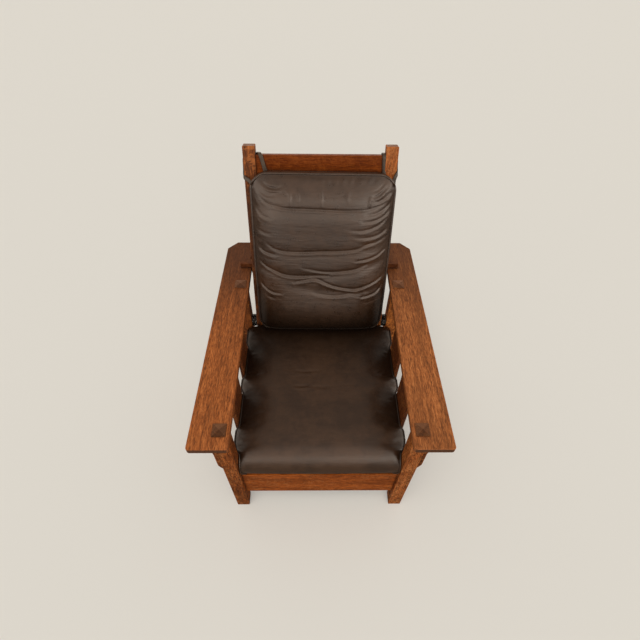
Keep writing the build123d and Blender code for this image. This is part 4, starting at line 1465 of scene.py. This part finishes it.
@dataclass
class SeatCushion:
    """The seat cushion: a broad band that rolls over the front edge, with a piped panel at each side."""

    leather: bpy.types.Material
    overhang: float = 14 * MM
    rear_inset: float = 2 * MM
    top_radius: float = 56 * MM
    rear_radius: float = 12 * MM
    foot_radius: float = 44 * MM
    crown: float = 29 * MM
    doming: float = 0.12
    front_fall: float = 0.76
    rear_fall: float = -0.3
    side_reach: float = 266 * MM
    side_fall: float = 70 * MM
    slat_fall: float = 60 * MM
    pinch: float = 16 * MM
    pinch_reach: float = 60 * MM
    softer: float = 20 * MM
    bulge: float = 9.5 * MM
    belly: float = 2 * MM
    gaps: tuple[tuple[float, ...], ...] = (
        (-0.3435, -0.29, -0.264, -0.2415), (-0.1235, -0.1, -0.071, -0.0475), (0.0705, 0.1, 0.16, 0.19)
    )
    leg_room: float = 10 * MM
    leg_edge: float = 14 * MM
    corner_room: float = 16 * MM
    corner_low: float = 14 * MM
    corner_high: float = 50 * MM
    fuller_front: float = 0.5
    cap_swell: float = 3 * MM
    tuck: float = 0.35 * MM
    tuck_inset: float = 16 * MM
    tuck_spread: float = 10 * MM
    piping_radius: float = 3.0 * MM
    around: int = 208
    across: int = 77
    bunching: float = 0.93
    cap_rows: int = 9
    folds: tuple[Crease, ...] = creases(
        (0.8, 5, 0.5, (-0.34, 0.61), (-0.2, 0.604), (0.0, 0.61)),
        (1.2, 4.5, 0.5, (-0.34, 0.5), (-0.26, 0.494), (-0.14, 0.5)),
        (0.6, 6, 0.5, (-0.12, 0.49), (0.02, 0.486), (0.14, 0.492)),
        (1.1, 10, 0.6, (-0.96, 0.3), (-0.8, 0.33), (-0.62, 0.345)),
        (1.1, 10, 0.6, (0.96, 0.31), (0.82, 0.335), (0.66, 0.345)),
    )

    def __post_init__(self) -> None:
        """Reads the cushion's place from its CAD solid."""
        low, high = (np.array(corner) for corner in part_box("seat_cushion"))
        self.front, self.rear = low[1] - self.overhang, high[1] - self.rear_inset
        self.base, self.edge_top = low[2], high[2] - self.crown

    def _profile(self) -> tuple[Array, Array]:
        """Gives the side panel's outline, a rectangle with a radius of its own at each corner.

        Returns:
            The outline's places, as y and z, evenly spaced round it from the middle of the foot, and the
            share of the crown that each takes, which is 1 on top and 0 on the foot.
        """
        y0, y1, z0, z1 = self.front, self.rear, self.base, self.edge_top
        mid_y, mid_z = (y0 + y1) / 2, (z0 + z1) / 2
        corners = (
            (y1, z0, self.rear_radius, -90), (y1, z1, self.rear_radius, 0),
            (y0, z1, self.top_radius, 90), (y0, z0, self.foot_radius, 180),
        )
        steps = np.linspace(0, 90, 24)
        outline = [np.array([[mid_y, z0]])]
        for y, z, radius, start in corners:
            centre = np.array([y - math.copysign(radius, y - mid_y), z - math.copysign(radius, z - mid_z)])
            angle = np.radians(start + steps)
            outline.append(centre + radius * np.stack([np.cos(angle), np.sin(angle)], axis=1))
        outline.append(outline[0])
        points = np.concatenate(outline)
        lengths = run_lengths(points)
        even = np.linspace(0, lengths[-1], self.around, endpoint=False)
        places = np.stack([np.interp(even, lengths, points[:, k]) for k in (0, 1)], axis=1)
        return places, smoothstep(z1 - self.top_radius, z1, places[:, 1])

    def build(self) -> list[Piece]:
        """Makes the shell and the two side seams' piping.

        Returns:
            The shell and the two pipings.
        """
        profile, crown_share = self._profile()
        spread = math.pi / 2 * self.bunching
        s = np.sin(np.linspace(-1, 1, self.across) * spread) / math.sin(spread)
        points = self._band(profile, crown_share, s)
        rings = [points.reshape(-1, 3)]
        quads = [grid_faces(self.across, self.around, closed=True)]
        offset = self.across * self.around
        for end, side in ((0, -1.0), (self.across - 1, 1.0)):
            cap, faces = self._cap(points[end], side, end * self.around, offset)
            rings.append(cap)
            quads.append(faces)
            offset += len(cap)
        shell = make_mesh("seat_cushion_cover", np.concatenate(rings), np.concatenate(quads).tolist())
        puff(shell, self._held(points, offset), pressure=1.2)
        moved = read_points(shell)
        seams = [moved[: self.around], moved[(self.across - 1) * self.around : self.across * self.around]]
        weld(shell, SEAM_WELD)
        refine(shell)
        self._fold(shell)
        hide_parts("seat_cushion")
        names = ("seat_cushion_piping_left", "seat_cushion_piping_right")
        pieces = [shell, *(self._side_piping(name, seam) for name, seam in zip(names, seams))]
        for piece in pieces:
            finish_soft(piece, self.leather, "frame")
        return pieces

    def _band(self, profile: Array, crown_share: Array, s: Array) -> Array:
        """Carries the profile across the seat.

        Near a side the top rises from the seam along a quarter of an ellipse, and over the rest it is
        slightly domed. The crown falls towards the front edge and rises a little towards the rear one. The
        sides bulge into the gaps between the slats and stay clear of the legs, most so low down in front.
        Beside a slat the top falls away sooner and is pressed down.

        Args:
            profile: the side panel's outline, as y and z.
            crown_share: the share of the crown that each place of the outline takes.
            s: where each ring lies, from -1 on the left to 1 on the right.

        Returns:
            The band's places, rings by outline places.
        """
        y, z = profile[None, :, 0], profile[None, :, 1]
        s = s[:, None]
        middle, half = (self.front + self.rear) / 2, (self.rear - self.front) / 2
        t = (y - middle) / half
        lengthwise = 1 - self.front_fall * np.clip(-t, 0, 1) ** 5 - self.rear_fall * np.clip(t, 0, 1) ** 6
        in_gap, near_gap = (
            sum(
                smoothstep(low - more, low_full + more, y) * smoothstep(high + more, high_full - more, y)
                for low, low_full, high_full, high in self.gaps
            )
            for more in (0.0, self.softer)
        )
        at_front = smoothstep(self.gaps[0][1], self.gaps[0][0], y)
        near_gap = np.maximum(near_gap, at_front)
        inside = (1 - np.abs(s)) * self.side_reach
        fall = self.side_fall * (1 - self.fuller_front * at_front) + self.slat_fall * (1 - near_gap)
        dome = (1 - self.doming) * pillow(inside, fall, 2.2, 0.5) + self.doming * (1 - s**2)
        pressed = self.pinch * (1 - near_gap) * bell(inside, self.pinch_reach) * dome
        rise = (self.crown * dome * lengthwise - pressed) * crown_share[None]
        upper = smoothstep(self.base, self.base + self.corner_high, z)
        leg_end = self.gaps[0][0]
        at_leg = smoothstep(leg_end + self.leg_edge, leg_end, y)
        low_corner = at_leg * smoothstep(self.base + self.corner_high, self.base + self.corner_low, z)
        reach = self.side_reach + self.bulge * in_gap * upper
        side = reach - self.leg_room * at_leg - self.corner_room * low_corner
        belly = self.belly * (1 - s**2) * np.abs(t) ** 8
        return np.stack(np.broadcast_arrays(s * side, y + np.sign(t) * belly, z + rise), axis=-1)

    def _cap(self, ring: Array, side: float, start: int, offset: int) -> tuple[Array, Array]:
        """Closes one side: rings that shrink from the seam onto a line along the middle of the side panel.

        Args:
            ring: the seam's places.
            side: -1 on the left and 1 on the right.
            start: the number of the seam's first point.
            offset: the number that the first new point gets.

        Returns:
            The new places and the new quads.
        """
        half = (self.edge_top - self.base) / 2
        line = ring.copy()
        line[:, 1] = np.clip(ring[:, 1], self.front + half, self.rear - half)
        line[:, 2] = self.base + half
        line[:, 0] = np.interp(line[:, 1], *self._seam_reach(ring))
        share = np.linspace(1, 0, self.cap_rows + 1)[1:, None, None]
        places = ring[None] * share + line[None] * (1 - share)
        places[..., 0] += side * self.cap_swell * (1 - share[..., 0] ** 2)
        numbers = np.concatenate([
            start + np.arange(self.around)[None],
            offset + np.arange(self.cap_rows * self.around).reshape(self.cap_rows, self.around),
        ])
        quads = numbers.reshape(-1)[grid_faces(self.cap_rows + 1, self.around, closed=True)]
        return places.reshape(-1, 3), quads if side > 0 else quads[:, ::-1]

    def _seam_reach(self, ring: Array) -> tuple[Array, Array]:
        """Reads how far out a seam runs along its foot.

        Args:
            ring: the seam's places.

        Returns:
            The y of the foot's places, rising, and their x.
        """
        foot = ring[ring[:, 2] < self.base + 2 * MM]
        order = np.argsort(foot[:, 1])
        return foot[order, 1], foot[order, 0]

    def _held(self, points: Array, total: int) -> Array:
        """Holds the two side panels with their seams, and the foot, which lies on the webbing.

        Args:
            points: the band's places.
            total: how many points the shell has.

        Returns:
            How firmly each point is held, 0 or 1.
        """
        held = np.zeros(total)
        held[self.across * self.around :] = 1
        held[: self.around] = 1
        held[(self.across - 1) * self.around : self.across * self.around] = 1
        low = points.reshape(-1, 3)[:, 2] < self.base + 1 * MM
        held[: len(low)] = np.maximum(held[: len(low)], low)
        return held

    def _fold(self, shell: Piece) -> None:
        """Presses the faint creases into the top and small tucks along the side seams.

        Args:
            shell: the cushion's cover.
        """
        x, y, z = read_points(shell).T
        on_top = smoothstep(self.edge_top + 1 * MM, self.edge_top + 9 * MM, z)
        heights = crease_height(x, y - self.front, self.folds, self.side_reach, self.rear - self.front)
        rng = np.random.default_rng(SEED + 1)
        waves = np.zeros_like(x)
        for pitch in (19 * MM, 31 * MM, 53 * MM):
            waves += np.sin(2 * math.pi * y / pitch + np.sign(x) * 2 + rng.uniform(0, 2 * math.pi))
        inside = self.side_reach - np.abs(x)
        heights += self.tuck * waves * bell(inside - self.tuck_inset, self.tuck_spread)
        displace(shell, heights * on_top, np.array([0.0, 0.0, 1.0]))

    def _side_piping(self, name: str, seam: Array) -> Piece:
        """Lays a piping along one side seam, a little outside and above it.

        Args:
            name: the piece's name.
            seam: the seam's places, in order round it.

        Returns:
            The piping.
        """
        side = math.copysign(1.0, seam[:, 0].mean())
        path = smooth_path(seam, 2, closed=True)
        out = path - path.mean(0)
        out[:, 0] = 0
        out = square_off(out, tangents(path, closed=True))
        lifted = path + out * self.piping_radius * 0.35
        lifted[:, 0] += side * self.piping_radius * 0.3
        return carry(name, lifted, out, round_outline(self.piping_radius), closed=True)


@dataclass(frozen=True)
class StrapEnds:
    """Where one tie strap runs: its distances from the middle, and its heights up the post.

    It starts above the cushion, goes over the top rail, crosses in front of the post at a height and ends at
    the side seam.
    """

    start: float
    over: float
    seam: float
    seam_height: float
    cross_height: float


@dataclass
class TieStraps:
    """The two leather straps that tie the back cushion to the posts."""

    axes: LeaningAxes
    leather: bpy.types.Material
    width: float = 12 * MM
    thickness: float = 3.2 * MM
    groove: float = 0.5 * MM
    gap: float = 0.8 * MM
    start_drop: float = 62 * MM
    left: StrapEnds = StrapEnds(171 * MM, 187 * MM, 213 * MM, 541 * MM, 559 * MM)
    right: StrapEnds = StrapEnds(202 * MM, 199 * MM, 229 * MM, 545 * MM, 572 * MM)

    def build(self) -> list[Piece]:
        """Makes both straps."""
        return [self._strap("left", -1.0, self.left), self._strap("right", 1.0, self.right)]

    def _strap(self, side_name: str, side: float, ends: StrapEnds) -> Piece:
        """Makes one strap: from the cushion over the rail, behind the post, round it and to the side seam.

        Args:
            side_name: left or right.
            side: -1 on the left and 1 on the right.
            ends: where the strap starts and ends.

        Returns:
            The strap.
        """
        post_low, post_high = self.axes.measure(f"back_post_{side_name}")
        rail_low, rail_high = self.axes.measure("back_top_rail")
        inner, outer = sorted(abs(x) for x in (post_low[0], post_high[0]))
        rear, front = post_high[1] + self.gap, post_low[1] - self.gap
        rail_front = rail_low[1] - self.gap
        rail_rear, rail_top = rail_high[1:] + self.gap
        foot = rail_top - self.start_drop
        turn = ends.over - ends.start
        lie = self.thickness
        aside = inner - self.width / 2 - self.gap
        to_seam = outer - ends.seam
        stops = (
            (ends.start - 0.12 * turn, rail_front - 12 * MM, foot - 10 * MM, (0, -1, 0.3)),
            (ends.start + 0.1 * turn, rail_front - 5 * MM, foot + 6 * MM, (0, -1, 0.2)),
            (ends.start + 0.4 * turn, rail_front - 2 * MM, foot + 24 * MM, (0, -1, 0)),
            (ends.start + 0.72 * turn, rail_front - 1 * MM, foot + 43 * MM, (0, -1, 0)),
            (ends.over, rail_front - 1 * MM, rail_top - 2 * MM, (0, -1, 0.3)),
            (0.6 * ends.over + 0.4 * aside, rail_front / 2, rail_top + 0.6 * lie, (0, -0.5, 1)),
            (0.2 * ends.over + 0.8 * aside, rail_rear / 2, rail_top + 0.5 * lie, (0, 0.5, 1)),
            (aside + 2 * MM, rail_rear, rail_top - 4 * MM, (0, 1, 0.3)),
            (aside + 10 * MM, rear - 2 * MM, rail_top - 9 * MM, (0, 1, 0.1)),
            ((inner + outer) / 2, rear, rail_top - 14 * MM, (0, 1, 0)),
            (outer - 4 * MM, rear, rail_top - 18 * MM, (0.2, 1, 0)),
            (outer + self.gap, rear - 4 * MM, rail_top - 21 * MM, (1, 0.4, 0)),
            (outer + self.gap, 0.0, (rail_top - 21 * MM + ends.cross_height) / 2, (1, 0, 0)),
            (outer + self.gap, front + 6 * MM, ends.cross_height + 4 * MM, (1, -0.2, 0)),
            (outer - 0.15 * to_seam, front - 3 * MM, ends.cross_height - 3 * MM, (0.8, -1, 0.2)),
            (
                outer - 0.6 * to_seam, front - 12 * MM,
                0.55 * ends.cross_height + 0.45 * ends.seam_height, (0.4, -1, 0.3),
            ),
            (ends.seam, front - 28 * MM, ends.seam_height, (0.4, -1, 0.3)),
        )
        places = np.array([(side * x, y, z) for x, y, z, _ in stops])
        outs = np.array([(side * out[0], out[1], out[2]) for *_, out in stops], float)
        route = smooth_path(np.concatenate([places, outs], axis=1), 8)
        path = self.axes.place(route[:, :3])
        outward = route[:, 3:] @ self.axes.turn.T
        outline = band_outline(self.width, self.thickness, self.groove)
        strap = carry(f"tie_strap_{side_name}", path, outward, outline)
        subdivide(strap)
        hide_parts(f"strap_{side_name}")
        finish_soft(strap, self.leather, "back")
        return strap


# The studio


@dataclass(frozen=True)
class SoftLight:
    """A distant soft light: where it stands over the horizon and round the chair, how wide and how strong."""

    name: str
    elevation: float
    bearing: float
    width: float
    strength: float
    colour: Colour = (1.0, 0.97, 0.93)
    distance: float = 5.0

    def build(self) -> None:
        """Hangs the light. The bearing is 0 in front of the chair and grows towards its right."""
        lamp = bpy.data.lights.new(self.name, "SUN")
        lamp.energy = self.strength
        lamp.angle = math.radians(self.width)
        lamp.color = self.colour
        holder = bpy.data.objects.new(self.name, lamp)
        bpy.context.scene.collection.objects.link(holder)
        up, round_ = math.radians(self.elevation), math.radians(self.bearing)
        source = Vector((math.sin(round_) * math.cos(up), -math.cos(round_) * math.cos(up), math.sin(up)))
        holder.location = source * self.distance
        holder.rotation_euler = (-source).to_track_quat("-Z", "Y").to_euler()
        holder.visible_glossy = False


@dataclass
class Studio:
    """A plain pale floor, a pale surrounding and soft lights.

    Gloss sees surroundings of its own, which are brightest low down, and in front brighter to either side.
    Their strength makes up for the ramps' halved brightness.
    """

    floor_half: float = 9.0
    floor_colour: Colour = (0.56, 0.53, 0.47)
    floor_glow: float = 0.18
    floor_in_gloss: float = 0.3
    far_run: tuple[float, float] = (-1.4, -5.0)
    far_glow: float = 3.4
    ambient: float = 0.45
    ambient_colour: Colour = (1.0, 0.985, 0.96)
    backdrop: Colour = (0.86, 0.85, 0.83)
    front_glow: tuple[tuple[float, float], ...] = (
        (0.0, 0.9), (0.05, 1.0), (0.11, 1.3), (0.26, 1.3), (0.38, 0.65), (0.8, 0.5), (1.0, 0.45)
    )
    rear_glow: tuple[tuple[float, float], ...] = (
        (0.0, 2.0), (0.25, 0.9), (0.55, 0.5), (0.8, 0.36), (1.0, 0.4)
    )
    rear_run: tuple[float, float] = (-0.1, 0.25)
    side_glow: tuple[float, float] = (2.0, 2.9)
    side_edge: float = 0.2
    gloss_tint: Colour = (1.0, 0.88, 0.76)
    gloss_strength: float = 2.0
    lights: tuple[SoftLight, ...] = (
        SoftLight("key", 68.0, -18.0, 44.0, 1.5),
        SoftLight("front", 26.0, 6.0, 40.0, 0.55),
    )

    def build(self) -> None:
        """Makes the floor, the world and the lights."""
        self._floor()
        self._world()
        for light in self.lights:
            light.build()

    def _floor(self) -> None:
        """Lays the floor, whose paleness is partly its own for the camera, and far in front for gloss."""
        h = self.floor_half
        corners = np.array([[-h, -h, 0], [h, -h, 0], [h, h, 0], [-h, h, 0]])
        floor = make_mesh("studio_floor", corners, [[0, 1, 2, 3]], smooth=False)
        g = new_graph("studio_floor")
        glow = tuple(self.floor_glow * c / max(self.backdrop) for c in self.backdrop)
        rays = g.node("LightPath").outputs
        dimmer = tuple(self.floor_in_gloss * c for c in self.floor_colour)
        far = g.rise(g.part(g.object_place(), "Y"), *self.far_run, 0.0, self.far_glow)
        set_material(floor, g.shine({
            "Base Color": g.mix(rays["Is Glossy Ray"], self.floor_colour, dimmer),
            "Roughness": 0.9,
            "Specular IOR Level": 0.1,
            "Emission Color": (*glow, 1.0),
            "Emission Strength": g.math("ADD", rays["Is Camera Ray"], g.times(rays["Is Glossy Ray"], far)),
        }))

    def _world(self) -> None:
        """Surrounds the chair with plain light, a plain backdrop for the camera and the glow for gloss."""
        world = bpy.data.worlds.new("studio")
        bpy.context.scene.world = world
        g = Graph(world)
        direction = g.object_place()
        height = g.part(direction, "Z")
        ahead = g.node("VectorMath", {
            0: self._glow_by_height(g, height, self.front_glow),
            "Scale": self._sideways(g, g.part(direction, "X")),
        }, operation="SCALE").outputs[0]
        behind = self._glow_by_height(g, height, self.rear_glow)
        around = g.mix(g.rise(g.part(direction, "Y"), *self.rear_run), ahead, behind)
        ambient, reflected, seen = (
            g.node("Background", {"Color": colour, "Strength": strength}).outputs[0]
            for colour, strength in (
                ((*self.ambient_colour, 1.0), self.ambient),
                (around, self.gloss_strength),
                ((*self.backdrop, 1.0), 1.0),
            )
        )
        rays = g.node("LightPath").outputs
        lit = g.node("MixShader", {0: rays["Is Glossy Ray"], 1: ambient, 2: reflected}).outputs[0]
        shown = g.node("MixShader", {0: rays["Is Camera Ray"], 1: lit, 2: seen}).outputs[0]
        g.node("OutputWorld", {"Surface": shown})

    def _glow_by_height(self, g: Graph, height: Socket, stops: tuple[tuple[float, float], ...]) -> Socket:
        """Adds a ramp from a direction's height to a brightness.

        Args:
            g: the world's graph.
            height: the direction's height, from 0 at the horizon to 1 overhead.
            stops: heights and the brightness at each.

        Returns:
            The tinted brightness, halved, so that it stays within a colour's range.
        """
        ramp = g.node("ValToRGB", {0: height})
        ramp.color_ramp.interpolation = "B_SPLINE"
        points = ramp.color_ramp.elements
        for number, (place, glow) in enumerate(stops):
            point = points[number] if number < 2 else points.new(place)
            point.position = place
            point.color = (*(glow / 2 * share for share in self.gloss_tint), 1.0)
        return ramp.outputs["Color"]

    def _sideways(self, g: Graph, across: Socket) -> Socket:
        """Gives how much brighter the surroundings are to either side than straight ahead.

        Args:
            g: the world's graph.
            across: the direction's X, below 0 on the left.

        Returns:
            The factor.
        """
        left, right = (
            g.rise(across, 0.1 * edge, edge, 1.0, glow)
            for edge, glow in zip((-self.side_edge, self.side_edge), self.side_glow)
        )
        return g.times(left, right)


@dataclass(frozen=True)
class PhotoCamera:
    """The photograph's camera: high in front of the chair, looking steeply down."""

    place: Place = (-0.0209, -0.9045, 1.7216)
    pitch_down: float = math.radians(50.561)
    yaw: float = math.radians(1.281)
    roll: float = math.radians(-1.064)
    focal_share: float = 440.3 / 640
    sensor: float = 36.0
    clip: tuple[float, float] = (0.05, 60.0)

    def build(self) -> None:
        """Makes the camera and sets it as the scene's."""
        cp, sp = math.cos(self.pitch_down), math.sin(self.pitch_down)
        cy, sy = math.cos(self.yaw), math.sin(self.yaw)
        forward = np.array([sy * cp, cy * cp, -sp])
        level = np.array([cy, -sy, 0.0])
        down = np.cross(forward, level)
        right = math.cos(self.roll) * level + math.sin(self.roll) * down
        under = -math.sin(self.roll) * level + math.cos(self.roll) * down
        turn = Matrix(np.stack([right, -under, -forward], axis=1).tolist())
        data = bpy.data.cameras.new("photo_camera")
        data.sensor_width = self.sensor
        data.lens = self.focal_share * self.sensor
        data.clip_start, data.clip_end = self.clip
        camera = bpy.data.objects.new("photo_camera", data)
        bpy.context.scene.collection.objects.link(camera)
        camera.matrix_world = Matrix.Translation(self.place) @ turn.to_4x4()
        bpy.context.scene.camera = camera


def recline_axes() -> LeaningAxes:
    """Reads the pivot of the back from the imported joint.

    Returns:
        The back frame's axes at rest, with the posts' lean.
    """
    joint = next(j for j in FRAME["joints"] if j["name"] == "back_recline")
    return LeaningAxes(tuple(joint["pos_m"]), POST_LEAN)


def main() -> None:
    """Builds the camera, the studio and every piece, in order."""
    logging.basicConfig(level=logging.INFO, format="%(name)s: %(message)s")
    bpy.context.scene.view_settings.view_transform = "Standard"
    PhotoCamera().build()
    Studio().build()
    OakFrame().dress()
    Ironwork().dress()
    axes = recline_axes()
    # Both cushions get painted shade: the back towards its foot, the seat towards its rear.
    back_leather = LeatherFinish(
        base=(0.042, 0.0195, 0.009), wrinkle=0.28 * MM, relief=0.045 * MM, dim=Dimming("Z", 0.38, 0.58, 0.9)
    ).material("back_leather")
    seat_leather = LeatherFinish(
        gloss=0.36, wrinkle=0.22 * MM, dim=Dimming("Y", 0.19, -0.06, 0.7)
    ).material("seat_leather")
    strap_leather = LeatherFinish(
        base=(0.085, 0.058, 0.038), shade=(0.035, 0.022, 0.014), wrinkle=0.1 * MM, painted_shade_reach=12 * MM,
        shine=0.3,
    ).material("strap_leather")
    assemblies = (
        SeatCushion(seat_leather),
        BackCushion(axes, back_leather),
        TieStraps(axes, strap_leather),
    )
    for assembly in assemblies:
        for piece in assembly.build():
            log.info("built %s with %d points", piece.name, len(piece.data.vertices))


if __name__ == "__main__":
    main()
